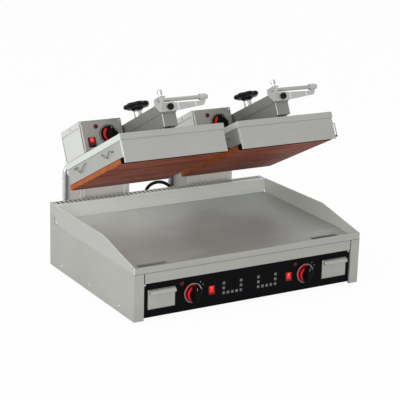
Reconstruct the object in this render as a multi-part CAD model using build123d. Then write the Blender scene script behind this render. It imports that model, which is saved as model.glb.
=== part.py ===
from build123d import *
import os
from math import atan2, cos, degrees, pi, radians, sin, sqrt, tan

os.makedirs("parts", exist_ok=True)

# Double contact griddle: a cabinet with a flat griddle plate, and two heated heads
# on hinged arms that swing down over it. Millimetres, +Z up, front towards -Y.
# Origin: middle of the footprint, on the surface that the feet stand on.

# Cabinet
cabinet_width = 800.0
cabinet_depth = 586.0
sheet = 1.5
foot_height = 12.0
foot_radius = 16.0
foot_inset = 70.0
post_width = 32.0
panel_top = 112.5
panel_bottom = 5.0
pan_lip = 14.0
panel_recess = 7.0
panel_thickness = 2.0
lip_top = 164.0
lip_width = 7.0
lip_drop = 14.0
lip_proud = 1.5
lip_lap = 6.0
band_gap = 3.0
side_top = 145.0
guard_top = 208.5
guard_sheet = 2.0
guard_bend_back = 204.0
guard_bend_radius = 40.0
vent_depth = 35.0
vent_skirt = 36.5
vent_slot_width = 7.0
vent_slot_length = 26.0
vent_slot_pitch = 15.5
vent_end = 25.0

# Griddle plate and grease gutter
plate_thickness = 12.0
plate_rear_top = 160.0
plate_front_top = 151.0
plate_front_back = 110.0
gutter_top = 145.0
gutter_sheet = 3.5
gutter_back = 80.0
slot_length = 92.0
slot_width = 34.0
slot_back = 38.0
chute_step = 3.0
chute_wall = 1.5
chute_bottom = 88.0
chute_inset = 4.0
ledge_width = 18.0

# Grease drawers
drawer_inset = 92.0
drawer_width = 90.0
drawer_height = 60.0
drawer_bottom = 30.0
drawer_face_depth = 5.7
drawer_face_sheet = 2.0
drawer_bevel = 2.5
drawer_box_width = 82.0
drawer_box_depth = 178.0
drawer_box_height = 50.0
drawer_wall = 1.0
drawer_lip_radius = 12.0
runner_length = 190.0
runner_flange = 12.0

# Controls
dial_from_drawer = 107.5
dial_height = 58.0
dial_ring_radius = 32.0
dial_ring_thickness = 1.5
dial_skirt_radius = 24.0
dial_skirt_thickness = 6.0
dial_grip_width = 13.0
dial_grip_length = 47.0
dial_grip_height = 24.0
dial_shaft_radius = 3.0
pilot_radius = 7.0
pilot_left_of_dial = 39.0
pilot_height = 93.0
rocker_from_dial = 62.5
rocker_height = 56.0
bezel_width = 25.4
bezel_height = 31.0
bezel_flange = 2.0
bezel_depth = 20.0
bezel_rim = 1.6
rocker_pivot = 4.0
rocker_tilt = 8.0
panel_screw_radius = 3.0

# Columns and hinges
column_width = 180.0
column_depth = 120.0
column_gap = 8.0
column_height = 262.0
column_sheet = 2.0
column_left_flange = 7.0
column_right_flange = 15.0
column_recess = 5.0
column_groove = 8.0
column_ridge = 5.0
bracket_base = 4.0
bracket_cheek = 6.0
hinge_rise = 63.0
eye_radius = 17.0
shaft_radius = 8.0
shaft_overhang = 7.0
washer_thickness = 2.0
washer_radius = 14.0
collar_thickness = 4.0
collar_radius = 12.0

# Heads, along (forward), up from the release sheet and across (to the right)
open_angle = 26.0
hinge_behind = 174.0
hinge_above = 148.0
head_width = 350.0
head_length = 402.0
skin = 2.0
lid_top = 86.0
lid_flange = 19.0
housing_bottom = 18.0
skirt_bottom = -1.0
skirt_set_back = 7.0
platen_set_back = 26.0
platen_thickness = 15.0
release_thickness = 1.0
release_rear_radius = 9.5
release_side_radius = 6.0
element_radius = 4.0
element_leg_count = 4
element_clear = 15.0
clip_wire_radius = 1.3
beam_width = 47.0
beam_bottom = 93.0
beam_back = 20.0
beam_set_back = 5.0
beam_wall = 3.0
beam_foot_radius = 8.0
arm_width = 50.0
arm_height = 31.0
arm_wall = 3.0
arm_set_back = 2.0
arm_hub_radius = 13.0

# Control box on each head
box_length = 143.0
box_left = -175.0
box_right = -31.0
box_top = 187.0
box_sheet = 1.5
box_lip = 18.0
box_flange = 7.0
box_recess = 2.0
box_dial_across = -80.0
box_dial_up = 138.0
box_pilot_across = -120.0
box_pilot_up = 167.0
box_rocker_across = -141.5
box_rocker_up = 118.5

# Handle, latch plunger and gap adjuster
handle_sheet = 4.0
rod_radius = 6.0
rod_ahead = 3.0
rod_over_arm = 7.5
rod_pin_radius = 3.0
rod_cap_radius = 5.5
boss_radius = 9.5
boss_start = 110.0
boss_end = 130.0
nut_length = 6.0
tab_rise = 17.5
stop_bolt_radius = 9.5
stop_bolt_across = 5.0
stop_bolt_drop = 14.5
plunger_across = -19.0
plunger_pin_radius = 3.0
plunger_knob_radius = 7.5
plunger_knob_height = 13.0
adjuster_forward = 207.0
spindle_radius = 8.0
sleeve_radius = 12.5
sleeve_height = 27.5
knob_hub_radius = 15.0
knob_hub_height = 8.0
knob_core_radius = 34.0
knob_lobe_radius = 6.5
knob_lobes = 7
knob_web_radius = 6.0
knob_round = 4.0
knob_thickness = 12.0
knob_cap_height = 3.0
nut_boss_radius = 15.0
nut_boss_height = 12.0

# Conduits, lead and plug
conduit_radius = 7.0
conduit_bend = 52.0
conduit_entry = 70.0
conduit_rise = 34.0
conduit_clip_height = 130.0
lead_radius = 5.75
gland_neck = 2.5
lead_entry_across = -2.0
lead_entry_height = 95.0
coil_inner_radius = 54.0
coil_turns = 1.5
coil_pitch = 12.8
coil_layer_step = 12.3
plug_radius = 18.0
plug_length = 36.0
plug_pin_radius = 2.4
plug_pin_length = 19.0
plug_pin_spacing = 19.0
tail_length = 26.0

# Clearances
seat_gap = 0.3
fit_gap = 0.05
slide_gap = 0.3

# Derived places
half_width = cabinet_width / 2
column_pitch = half_width
drawer_offset = half_width - drawer_inset
dial_offset = drawer_offset - dial_from_drawer
rocker_offset = dial_offset - rocker_from_dial
vent_slots = int((cabinet_width - vent_end) / vent_slot_pitch)
front_reach = dial_ring_thickness + seat_gap + dial_grip_height - panel_recess
rear_reach = cabinet_depth + column_gap + column_depth
front_y = (front_reach - rear_reach) / 2
floor_z = foot_height
guard_back = cabinet_depth - vent_depth
panel_front = front_y + panel_recess
plate_slope = degrees(atan2(plate_rear_top - plate_front_top, guard_back - plate_front_back))
hinge_y = front_y + rear_reach - eye_radius
hinge_z = floor_z + column_height + bracket_base + hinge_rise
side_walls_top = lid_top - lid_flange
beam_top = hinge_above - arm_height / 2
arm_top = hinge_above + arm_height / 2
skirt_back = head_length - skirt_set_back
platen_front = head_length - platen_set_back
beam_front = head_length - beam_set_back
arm_front = head_length - arm_set_back
rod_forward = arm_front + rod_ahead
rod_up = arm_top + rod_over_arm
tab_top = arm_top + tab_rise
gland_neck_radius = lead_radius + gland_neck
head_centres = {"left": -column_pitch / 2, "right": column_pitch / 2}
sides = {"left": -1, "right": 1}


# Basic shapes
def block(x0, x1, y0, y1, z0, z1):
    return Pos((x0 + x1) / 2, (y0 + y1) / 2, (z0 + z1) / 2) * Box(x1 - x0, y1 - y0, z1 - z0)


def prism_x(points, x0, x1):
    face = Plane.YZ.offset(x0) * make_face(Polyline(*points, close=True).edges())
    return extrude(face, amount=x1 - x0, dir=(1, 0, 0))


def prism_y(points, y0, y1):
    face = Plane.XZ.offset(-y0) * make_face(Polyline(*points, close=True).edges())
    return extrude(face, amount=y1 - y0, dir=(0, 1, 0))


def rod_x(radius, x0, x1, y, z):
    return Pos((x0 + x1) / 2, y, z) * Rot(0, 90, 0) * Cylinder(radius, x1 - x0)


def rod_y(radius, x, y0, y1, z):
    return Pos(x, (y0 + y1) / 2, z) * Rot(90, 0, 0) * Cylinder(radius, y1 - y0)


def rod_z(radius, x, y, z0, z1):
    return Pos(x, y, (z0 + z1) / 2) * Cylinder(radius, z1 - z0)


def tube_along(path, radius):
    start = path ^ 0
    return sweep(start * Circle(radius), path=path)


# Block of the cabinet, by distance back from its front plane and height over its floor
def cabinet_block(x0, x1, back0, back1, up0, up1):
    return block(x0, x1, front_y + back0, front_y + back1, floor_z + up0, floor_z + up1)


def cabinet_profile(points):
    return [(front_y + back, floor_z + up) for back, up in points]


# Block of a head, by distance across, forward and up
def head_block(across0, across1, forward0, forward1, up0, up1):
    return block(across0, across1, -forward1, -forward0, up0, up1)


def head_rod_x(radius, across0, across1, forward, up):
    return rod_x(radius, across0, across1, -forward, up)


def place_head(centre, shape):
    hinge = Location((centre, hinge_y, hinge_z), (-open_angle, 0, 0))
    return hinge * Location((0, -hinge_behind, -hinge_above)) * shape


def save(name, *shapes):
    solids = [solid for shape in shapes for solid in shape.solids()]
    body = solids[0] if len(solids) == 1 else Compound(children=solids)
    body.label = name
    export_step(body, "parts/" + name + ".step")


# Cabinet panels
def side_panel(sign):
    back_end = cabinet_depth - sheet - seat_gap
    start = sheet + seat_gap
    step_back = guard_back + seat_gap
    outline = [
        (start, 0),
        (back_end, 0),
        (back_end, guard_top - vent_skirt),
        (step_back, guard_top - vent_skirt),
        (step_back, side_top),
        (start, side_top),
    ]
    outer = half_width
    inner = half_width - sheet
    wall = prism_x(cabinet_profile(outline), inner, outer)
    under_front = plate_front_top - plate_thickness - seat_gap
    under_rear = plate_rear_top - plate_thickness - seat_gap
    ledge = [
        (plate_front_back, under_front - 4 * sheet),
        (guard_back - guard_sheet, under_front - 4 * sheet),
        (guard_back - guard_sheet, under_rear),
        (plate_front_back, under_front),
    ]
    rest = prism_x(cabinet_profile(ledge), inner - ledge_width, inner)
    rest -= cabinet_block(outer - guard_sheet - seat_gap, outer, 0, cabinet_depth, side_top, lip_top)
    shape = wall + rest
    return shape if sign > 0 else mirror(shape, about=Plane.YZ)


def drawer_runner(centre, sign):
    web = drawer_box_width / 2 + 3
    top = drawer_bottom + 3 - slide_gap
    start = panel_recess + panel_thickness + 3
    x0, x1 = sorted([centre + sign * web, centre + sign * (web + sheet)])
    wall = cabinet_block(x0, x1, start, start + runner_length, panel_bottom + sheet, top + 8)
    f0, f1 = sorted([centre + sign * web, centre + sign * (web - runner_flange)])
    return wall + cabinet_block(f0, f1, start, start + runner_length, top - sheet, top)


def bottom_pan():
    inner = half_width - sheet - seat_gap
    start = panel_recess + panel_thickness + seat_gap
    low = panel_bottom
    shape = cabinet_block(-inner, inner, start, cabinet_depth - sheet - seat_gap, low, low + sheet)
    shape += cabinet_block(-inner, inner, start, start + sheet, low, low + pan_lip)
    for centre in (-drawer_offset, drawer_offset):
        for sign in (-1, 1):
            shape += drawer_runner(centre, sign)
    return shape


def rear_panel():
    top = guard_top - vent_skirt
    shape = cabinet_block(-half_width, half_width, cabinet_depth - sheet, cabinet_depth, 0, top)
    y0 = front_y + cabinet_depth - 2 * sheet
    y1 = front_y + cabinet_depth + sheet
    lead_hole = rod_y(gland_neck_radius, lead_entry_across, y0, y1, floor_z + lead_entry_height)
    shape -= lead_hole
    for centre in head_centres.values():
        shape -= rod_y(conduit_radius + fit_gap, conduit_x(centre), y0, y1, floor_z + conduit_entry)
    return shape


def front_frame():
    inner = half_width - post_width
    band = inner - band_gap
    reach = half_width - guard_sheet - seat_gap
    rear = panel_recess + panel_thickness
    under_gutter = gutter_top - gutter_sheet - seat_gap
    shape = cabinet_block(-band, band, 0, sheet, panel_top, side_top)
    shape += cabinet_block(-band, band, 0, rear, panel_top, panel_top + sheet)
    shape += cabinet_block(-inner, inner, rear - sheet, rear, panel_top, panel_top + 2 * sheet)
    for sign in (-1, 1):
        x0, x1 = sorted([sign * inner, sign * half_width])
        shape += cabinet_block(x0, x1, 0, sheet, 0, side_top)
        x0, x1 = sorted([sign * inner, sign * (inner + sheet)])
        shape += cabinet_block(x0, x1, 0, rear, 0, under_gutter)
    shape += cabinet_block(-reach, reach, 0, sheet, side_top, side_top + lip_lap)
    shape += cabinet_block(-reach, reach, -lip_proud, 0, side_top, lip_top)
    shape += cabinet_block(-reach, reach, -lip_proud, lip_width, lip_top - sheet, lip_top)
    shape += cabinet_block(-reach, reach, lip_width - sheet, lip_width, lip_top - lip_drop, lip_top)
    edges = shape.edges().filter_by(Axis.X).group_by(Axis.Z)[-1]
    return fillet(edges.sort_by(Axis.Y)[0], sheet * 0.6)


def control_panel():
    reach = half_width - post_width - seat_gap
    back0 = panel_recess
    back1 = panel_recess + panel_thickness
    shape = cabinet_block(-reach, reach, back0, back1, panel_bottom, panel_top - seat_gap)
    y0 = panel_front - 1
    y1 = panel_front + panel_thickness + 1
    for centre in (-drawer_offset, drawer_offset):
        half = drawer_box_width / 2 + 1
        low = drawer_bottom + 2
        high = low + drawer_box_height + 3
        shape -= cabinet_block(centre - half, centre + half, back0 - 1, back1 + 1, low, high)
    for sign in (-1, 1):
        shape -= rod_y(dial_shaft_radius + 2, sign * dial_offset, y0, y1, floor_z + dial_height)
        pilot = sign * dial_offset - pilot_left_of_dial
        shape -= rod_y(pilot_radius - 2 + fit_gap, pilot, y0, y1, floor_z + pilot_height)
        shape -= bezel_cut(sign * rocker_offset, y0, y1, floor_z + rocker_height)
        screw_x = sign * (reach - 5)
        screw_z = floor_z + panel_top - 6
        shape -= rod_y(panel_screw_radius / 2 + fit_gap, screw_x, y0, y1, screw_z)
    return shape


def bezel_cut(x, y0, y1, z):
    half_w = bezel_width / 2 - bezel_rim + 0.5
    half_h = bezel_height / 2 - bezel_rim + 0.5
    return block(x - half_w, x + half_w, y0, y1, z - half_h, z + half_h)


# Griddle plate with its sloped front, grease gutter and two drain chutes
def griddle_plate():
    reach = half_width - guard_sheet - seat_gap
    rear = guard_back - guard_sheet - seat_gap
    flange_back = lip_width + seat_gap
    below = gutter_top - gutter_sheet
    outline = [
        (rear, plate_rear_top),
        (plate_front_back, plate_front_top),
        (gutter_back, gutter_top),
        (flange_back + gutter_sheet, gutter_top),
        (flange_back + gutter_sheet, lip_top - sheet - seat_gap),
        (flange_back, lip_top - sheet - seat_gap),
        (flange_back, below),
        (gutter_back, below),
        (plate_front_back, plate_front_top - gutter_sheet),
        (plate_front_back, plate_front_top - plate_thickness),
        (rear, plate_rear_top - plate_thickness),
    ]
    shape = prism_x(cabinet_profile(outline), -reach, reach)
    back1 = slot_back + slot_width
    for centre in (-drawer_offset, drawer_offset):
        x0 = centre - slot_length / 2
        shape += chute(centre, below, chute_wall)
        shape -= chute(centre, below, 0)
        shape -= cabinet_block(x0, x0 + slot_length, slot_back, back1, below - 1, gutter_top + 1)
    return shape


# Funnel under a drain slot, a little wider than the slot above and as narrow as the drawer below
def chute(centre, below, wall):
    top = slot_length / 2 + chute_step + wall
    bottom = drawer_box_width / 2 - chute_inset - chute_wall + wall
    low = floor_z + chute_bottom - (0 if wall else 1)
    high = floor_z + below
    points = [
        (centre - bottom, low),
        (centre + bottom, low),
        (centre + top, high),
        (centre - top, high),
    ]
    y0 = front_y + slot_back - chute_step - wall
    y1 = front_y + slot_back + slot_width + chute_step + wall
    return prism_y(points, y0, y1)


# Splash guard: one sheet round three sides, falling towards the front
def splash_guard():
    x0 = half_width - guard_sheet
    outline = cabinet_profile(
        [
            (0, side_top + seat_gap),
            (guard_back, side_top + seat_gap),
            (guard_back, guard_top),
            (guard_bend_back, guard_top),
            (0, lip_top),
        ]
    )
    face = make_face(Polyline(*outline, close=True).edges())
    corner = Vector(0, front_y + guard_bend_back, floor_z + guard_top)
    bend = face.vertices().sort_by_distance(corner)[0]
    face = fillet(bend, guard_bend_radius)
    wall = extrude(Plane.YZ.offset(x0) * face, amount=guard_sheet, dir=(1, 0, 0))
    shape = wall + mirror(wall, about=Plane.YZ)
    shape += cabinet_block(-x0, x0, guard_back - guard_sheet, guard_back, side_top + seat_gap, guard_top)
    hem = guard_top - 6
    shape += cabinet_block(-x0, x0, guard_back - 2 * guard_sheet, guard_back - guard_sheet, hem, guard_top)
    return shape


# Vent channel behind the guard, with a row of slots
def vent_strip():
    back0 = guard_back + seat_gap
    low = guard_top - vent_skirt + seat_gap
    shape = cabinet_block(-half_width, half_width, back0, cabinet_depth, low, guard_top)
    inner = half_width - sheet
    shape -= cabinet_block(-inner, inner, back0 - 1, cabinet_depth - sheet, low - 1, guard_top - sheet)
    middle = (back0 + cabinet_depth) / 2
    span = (vent_slots - 1) * vent_slot_pitch
    slots = []
    for index in range(vent_slots):
        x = -span / 2 + index * vent_slot_pitch
        half = vent_slot_width / 2
        back0 = middle - vent_slot_length / 2
        back1 = back0 + vent_slot_length
        slots.append(cabinet_block(x - half, x + half, back0, back1, guard_top - 3, guard_top + 1))
    return shape - slots


def feet():
    shapes = []
    for x in (-half_width + foot_inset, half_width - foot_inset):
        for back in (foot_inset, cabinet_depth - foot_inset):
            pad = rod_z(foot_radius, x, front_y + back, 0, floor_z + panel_bottom)
            shapes.append(chamfer(pad.edges().group_by(Axis.Z)[0], 2))
    return shapes


# Tubular heating elements, clamped under the plate and on the platens
def serpentine(x0, x1, y0, y1, legs, bend):
    points = []
    for index in range(legs):
        y = y0 + (y1 - y0) * index / (legs - 1)
        ends = [(x0, y, 0), (x1, y, 0)]
        points += ends if index % 2 == 0 else ends[::-1]
    return tube_along(FilletPolyline(*points, radius=bend), element_radius)


def lower_elements():
    length = guard_back - plate_front_back - 2 * ledge_width - 2 * guard_sheet
    shapes = []
    legs = element_leg_count
    pitch = (length - 40) / (legs - 1)
    drop = plate_thickness + element_radius + seat_gap
    middle_back = (guard_back + plate_front_back) / 2
    middle_up = (plate_rear_top + plate_front_top) / 2 - drop
    for centre in head_centres.values():
        half = column_pitch / 2 - ledge_width - element_clear
        tube = serpentine(-half, half, -1.5 * pitch, 1.5 * pitch, legs, pitch * 0.45)
        place = Location((centre, front_y + middle_back, floor_z + middle_up), (plate_slope, 0, 0))
        shapes.append(place * tube)
    return shapes


# Controls: drawn at the origin with the panel face on y = 0, facing -Y
def dial_ring():
    disc = rod_y(dial_ring_radius, 0, -dial_ring_thickness, 0, 0)
    return disc - rod_y(dial_shaft_radius + 3, 0, -2 * dial_ring_thickness, 1, 0)


def dial_knob():
    base = -dial_ring_thickness - seat_gap
    front = base - dial_skirt_thickness
    skirt = rod_y(dial_skirt_radius, 0, front, base, 0)
    skirt = chamfer(skirt.edges().group_by(Axis.Y)[0], 1.5)
    tip = base - dial_grip_height
    half = dial_grip_width / 2
    grip = prism_z_taper(half, tip, front)
    grip = grip & rod_y(dial_grip_length / 2, 0, tip - 1, front + 1, 0)
    grip = fillet(grip.edges().group_by(Axis.Y)[0], 1.2)
    shape = skirt + grip
    return shape - rod_y(dial_shaft_radius + fit_gap, 0, base - 12, base + 1, 0)


def prism_z_taper(half, tip, front):
    length = dial_grip_length / 2
    outline = [(-half * 1.25, front), (half * 1.25, front), (half * 0.8, tip), (-half * 0.8, tip)]
    face = Plane.XY.offset(-length) * make_face(Polyline(*outline, close=True).edges())
    return extrude(face, amount=2 * length, dir=(0, 0, 1))


def thermostat():
    inside = panel_thickness + seat_gap
    body = block(-18, 18, inside, inside + 24, -14, 14)
    shaft_end = -dial_ring_thickness - seat_gap - 11
    return body + rod_y(dial_shaft_radius, 0, shaft_end, inside, 0)


def pilot_lamp():
    dome = rod_y(pilot_radius, 0, -4, 0, 0)
    dome = fillet(dome.edges().group_by(Axis.Y)[0], 2.5)
    return dome + rod_y(pilot_radius - 2, 0, -1, 14, 0)


def rocker_bezel():
    half_w = bezel_width / 2
    half_h = bezel_height / 2
    flange = block(-half_w, half_w, -bezel_flange, 0, -half_h, half_h)
    flange = chamfer(flange.edges().group_by(Axis.Y)[0], 0.8)
    body_w = half_w - bezel_rim + 0.3
    body_h = half_h - bezel_rim + 0.3
    shape = flange + block(-body_w, body_w, -bezel_flange / 2, bezel_depth, -body_h, body_h)
    well_w = half_w - bezel_rim - 0.5
    well_h = half_h - bezel_rim
    return shape - block(-well_w, well_w, -bezel_flange - 1, bezel_depth - 2, -well_h, well_h)


def rocker():
    half_w = bezel_width / 2 - bezel_rim - 0.5 - slide_gap
    half_h = bezel_height / 2 - bezel_rim - 1.5
    outline = [
        (-bezel_flange - 2.5, -half_h),
        (-bezel_flange, 0),
        (-bezel_flange - 2.5, half_h),
        (rocker_pivot + 7, half_h - 1),
        (rocker_pivot + 7, -half_h + 1),
    ]
    shape = prism_x(outline, -half_w, half_w)
    pivot = Pos(0, rocker_pivot, 0)
    return pivot * Rot(-rocker_tilt, 0, 0) * pivot.inverse() * shape


# Grease drawer: open box, pan-shaped face and a rolled lip to pull by
def drawer(centre):
    face_front = panel_recess - seat_gap - drawer_face_depth
    face_rear = panel_recess - seat_gap
    x0 = centre - drawer_width / 2
    x1 = centre + drawer_width / 2
    top = drawer_bottom + drawer_height
    face = cabinet_block(x0, x1, face_front, face_rear, drawer_bottom, top)
    face = chamfer(face.edges().group_by(Axis.Y)[0], drawer_bevel)
    t = drawer_face_sheet
    face -= cabinet_block(x0 + t, x1 - t, face_front + t, face_rear + 1, drawer_bottom + t, top - t)
    b0 = centre - drawer_box_width / 2
    b1 = centre + drawer_box_width / 2
    low = drawer_bottom + 3
    rear = face_rear + drawer_box_depth
    tray = cabinet_block(b0, b1, face_front + t, rear, low, low + drawer_box_height)
    w = drawer_wall
    tray -= cabinet_block(b0 + w, b1 - w, face_front + t + w, rear - w, low + w, low + drawer_box_height + 1)
    lip_y = front_y + face_front + drawer_bevel / 2
    lip_z = floor_z + top - drawer_lip_radius
    roll = rod_x(drawer_lip_radius, x0 + drawer_bevel, x1 - drawer_bevel, lip_y, lip_z)
    hollow = rod_x(drawer_lip_radius - t, x0 + drawer_bevel + t, x1 - drawer_bevel - t, lip_y, lip_z)
    keep = block(x0, x1, lip_y - 2 * drawer_lip_radius, lip_y, lip_z, lip_z + 2 * drawer_lip_radius)
    return face + tray + ((roll - hollow) & keep)


# Columns behind the cabinet that carry the hinges
def column(centre):
    x0 = centre - column_width / 2
    x1 = centre + column_width / 2
    back0 = cabinet_depth + column_gap
    back1 = back0 + column_depth
    s = column_sheet
    shape = cabinet_block(x0, x1, back0, back1, 0, column_height)
    face = back0 + column_recess
    groove = x0 + column_left_flange
    recess = groove + column_groove + column_ridge
    shape -= cabinet_block(groove, groove + column_groove, back0 - 1, face, -1, column_height + 1)
    shape -= cabinet_block(recess, x1 - column_right_flange, back0 - 1, face, -1, column_height + 1)
    shape -= cabinet_block(x0 + s, x1 - s, face + s, back1 - s, s, column_height - s)
    for x in (x0 + 3 * column_right_flange, x1 - 3 * column_right_flange):
        for up in (30, guard_top - vent_skirt - 30):
            y0 = front_y + cabinet_depth
            shape += rod_y(9, x, y0, y0 + column_gap + column_recess, floor_z + up)
    return shape


# Hinge: a fork on each column, a shaft, washers and collars
def cheek_inner():
    return arm_width / 2 + washer_thickness + seat_gap


def hinge_bracket(centre):
    base_z = floor_z + column_height
    inner = cheek_inner()
    outer = inner + bracket_cheek
    back = rear_reach - 2 * eye_radius - 46
    y_base = front_y + back
    y_rear = front_y + rear_reach
    reach = outer + 18
    base = block(centre - reach, centre + reach, y_base, y_rear, base_z, base_z + bracket_base)
    base = fillet(base.edges().filter_by(Axis.Z), 6)
    brow = (hinge_y - eye_radius * 0.6, hinge_z + eye_radius * 0.8)
    cheek = prism_x([(y_base + 4, base_z), (y_rear, base_z), (y_rear, hinge_z), brow], inner, outer)
    cheek += rod_x(eye_radius, inner, outer, hinge_y, hinge_z)
    cheek += mirror(cheek, about=Plane.YZ)
    shape = base + Pos(centre, 0, 0) * cheek
    return shape - rod_x(shaft_radius + fit_gap, centre - outer - 1, centre + outer + 1, hinge_y, hinge_z)


def hinge_shaft(centre):
    outer = cheek_inner() + bracket_cheek
    end = outer + shaft_overhang
    pin = rod_x(shaft_radius, centre - end, centre + end, hinge_y, hinge_z)
    for sign in (-1, 1):
        near = outer + fit_gap
        x0, x1 = sorted([centre + sign * near, centre + sign * (near + collar_thickness)])
        pin += rod_x(collar_radius, x0, x1, hinge_y, hinge_z)
    shapes = [pin]
    for sign in (-1, 1):
        start = arm_width / 2 + seat_gap / 2
        x0, x1 = sorted([centre + sign * start, centre + sign * (start + washer_thickness)])
        ring = rod_x(washer_radius, x0, x1, hinge_y, hinge_z)
        shapes.append(ring - rod_x(shaft_radius + fit_gap, x0 - 1, x1 + 1, hinge_y, hinge_z))
    return shapes


# Conduits from the cabinet up the columns and into the hinge forks
def conduit_x(centre):
    return centre - column_width / 2 - conduit_radius - seat_gap


def conduit(centre):
    x = conduit_x(centre)
    y0 = front_y + cabinet_depth
    fork = centre - cheek_inner() - bracket_cheek
    z1 = floor_z + column_height + bracket_base + conduit_rise
    z0 = floor_z + conduit_entry
    points = [(x, y0 - 6, z0), (x, hinge_y, z0), (x, hinge_y, z1), (fork, hinge_y, z1)]
    bends = [conduit_bend, bracket_base + conduit_rise]
    tube = tube_along(FilletPolyline(*points, radius=bends), conduit_radius)
    nut = rod_y(conduit_radius + 5, x, y0 + seat_gap, y0 + column_gap - seat_gap, z0)
    nut -= rod_y(conduit_radius + fit_gap, x, y0, y0 + 15, z0)
    end_nut = rod_x(conduit_radius + 3, fork - 18, fork, hinge_y, z1)
    end_nut -= rod_x(conduit_radius + fit_gap, fork - 19, fork + 1, hinge_y, z1)
    z = floor_z + conduit_clip_height
    clip = rod_z(conduit_radius + 1.5, x, hinge_y, z, z + 12)
    face_x = centre - column_width / 2
    clip += block(face_x - 1.5, face_x, hinge_y - 20, hinge_y + 13, z, z + 12)
    clip -= rod_z(conduit_radius + fit_gap, x, hinge_y, z - 1, z + 13)
    clip -= block(face_x, face_x + 10, hinge_y - 30, hinge_y + 30, z - 1, z + 13)
    return [tube, nut, end_nut, clip]


# Mains lead: gland, free stretch, put-away coil and plug
def cord_gland():
    y0 = front_y + cabinet_depth
    z = floor_z + lead_entry_height
    hexagon = Plane.XZ.offset(-y0 - seat_gap) * RegularPolygon(lead_radius + 6.5, 6)
    nut = Pos(lead_entry_across, 0, z) * extrude(hexagon, amount=8, dir=(0, 1, 0))
    dome = rod_y(lead_radius + 4.5, lead_entry_across, y0 + 8, y0 + 20, z)
    dome = fillet(dome.edges().group_by(Axis.Y)[-1], 3)
    neck = rod_y(gland_neck_radius - fit_gap, lead_entry_across, y0 - 10, y0 + 1, z)
    return nut + dome + neck


def lead_points():
    z = floor_z + lead_entry_height
    y = front_y + cabinet_depth + 20
    x = lead_entry_across
    low = lead_radius + 0.2
    return [
        (x, y, z),
        (x, y + 36, z),
        (x, y + 62, z + 26),
        (x - 10, y + 64, z + 65),
        (x, y + 60, z + 103),
        (x + 36, y + 46, z + 119),
        (x + 72, y + 32, z + 103),
        (x + 82, y + 27, z + 65),
        (x + 84, y + 22, z + 22),
        (x + 80, y + 20, z - 22),
        (x + 76, y + 22, z - 58),
        (x + 76, y + 48, low + 4),
        (x + 76, y + 84, low),
        (x + 76, y + 100, low),
    ]


def lead_radii(points):
    radii = []
    for a, b, c in zip(points, points[1:], points[2:]):
        u = Vector(*b) - Vector(*a)
        v = Vector(*c) - Vector(*b)
        turn = radians(u.get_angle(v))
        radii.append(0.45 * min(u.length, v.length) / tan(turn / 2))
    return radii


def power_cord():
    points = lead_points()
    radii = lead_radii(points)
    path = FilletPolyline(*points, radius=radii)
    tube = tube_along(path, lead_radius)
    expected = pi * lead_radius**2 * path.length
    print("lead radii", [round(r) for r in radii])
    print("lead length", round(path.length), "volume ratio", round(tube.volume / expected, 5))
    return tube, path.length


# Spiral half turns in plan, one layer in and the next one out again
def coil_path(start):
    outer = coil_inner_radius + coil_turns * coil_pitch
    centre_x = start[0] - outer
    y = start[1]
    z = start[2]
    lead_in = Line((start[0], y - 2 * lead_radius, z), (start[0], y, z))
    edges = [lead_in]
    halves = int(2 * coil_turns)
    left, right = centre_x - outer, centre_x + outer
    x = right
    radius = outer
    heading = 1
    for index in range(halves):
        next_x = x - heading * (2 * radius - coil_pitch / 2)
        middle = ((x + next_x) / 2, y + heading * abs(x - next_x) / 2, z)
        edges.append(ThreePointArc((x, y, z), middle, (next_x, y, z)))
        x = next_x
        radius -= coil_pitch / 2
        heading = -heading
    radius -= coil_pitch / 8
    rise = coil_layer_step / 2
    bulge = sqrt(radius**2 + rise**2)
    centre = x - heading * radius
    top = (centre, y + heading * bulge, z + rise)
    edges.append(TangentArc((x, y, z), top, tangent=(0, heading, 0)))
    edges.append(TangentArc(top, (centre - heading * radius, y, z + 2 * rise), tangent=edges[-1] % 1))
    x = centre - heading * radius
    z += 2 * rise
    heading = -heading
    for index in range(halves):
        radius += coil_pitch * 3 / 8 if index == 0 else coil_pitch / 2
        next_x = x - heading * 2 * radius
        middle = ((x + next_x) / 2, y + heading * radius, z)
        edges.append(ThreePointArc((x, y, z), middle, (next_x, y, z)))
        x = next_x
        heading = -heading
    tail = Line((x, y, z), (x, y + heading * tail_length, z))
    edges.append(tail)
    return Wire(edges), (x, y + heading * tail_length, z, heading)


def cord_coil(start):
    wire, end = coil_path(start)
    tube = tube_along(wire, lead_radius)
    length = wire.length
    expected = pi * lead_radius**2 * length
    count = 400
    points = [wire @ (i / count) for i in range(count + 1)]
    apart = int(count * 6 * lead_radius / length) + 2
    gaps = [
        (points[i] - points[j]).length
        for i in range(count + 1)
        for j in range(i + apart, count + 1)
    ]
    print("coil length", round(length), "volume ratio", round(tube.volume / expected, 5))
    print("coil least gap", round(min(gaps) - 2 * lead_radius, 2), "height", round(end[2], 1))
    return tube, end, length


# Round two-pin plug lying on the surface, its cable end towards the coil
def plug(end):
    x, y, z, heading = end
    taper = Cone(lead_radius + 1.5, lead_radius + 5, 28)
    relief = Pos(x, y + heading * 14, z) * Rot(-90 * heading, 0, 0) * taper
    face0 = y + heading * 28
    face1 = y + heading * (28 + plug_length)
    body = rod_y(plug_radius, x, min(face0, face1), max(face0, face1), z)
    body = chamfer(body.edges().group_by(Axis.Y)[-1 if heading < 0 else 0], 6)
    shape = relief + body
    y0, y1 = sorted([face0, face1])
    shape -= block(x - 3, x + 3, y0 - 1, y1 + 1, z + plug_radius - 2.5, z + plug_radius + 1)
    for sign in (-1, 1):
        tip = face1 + heading * plug_pin_length
        pin_x = x + sign * plug_pin_spacing / 2
        shape += rod_y(plug_pin_radius, pin_x, min(face1, tip), max(face1, tip), z)
    return shape


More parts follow.
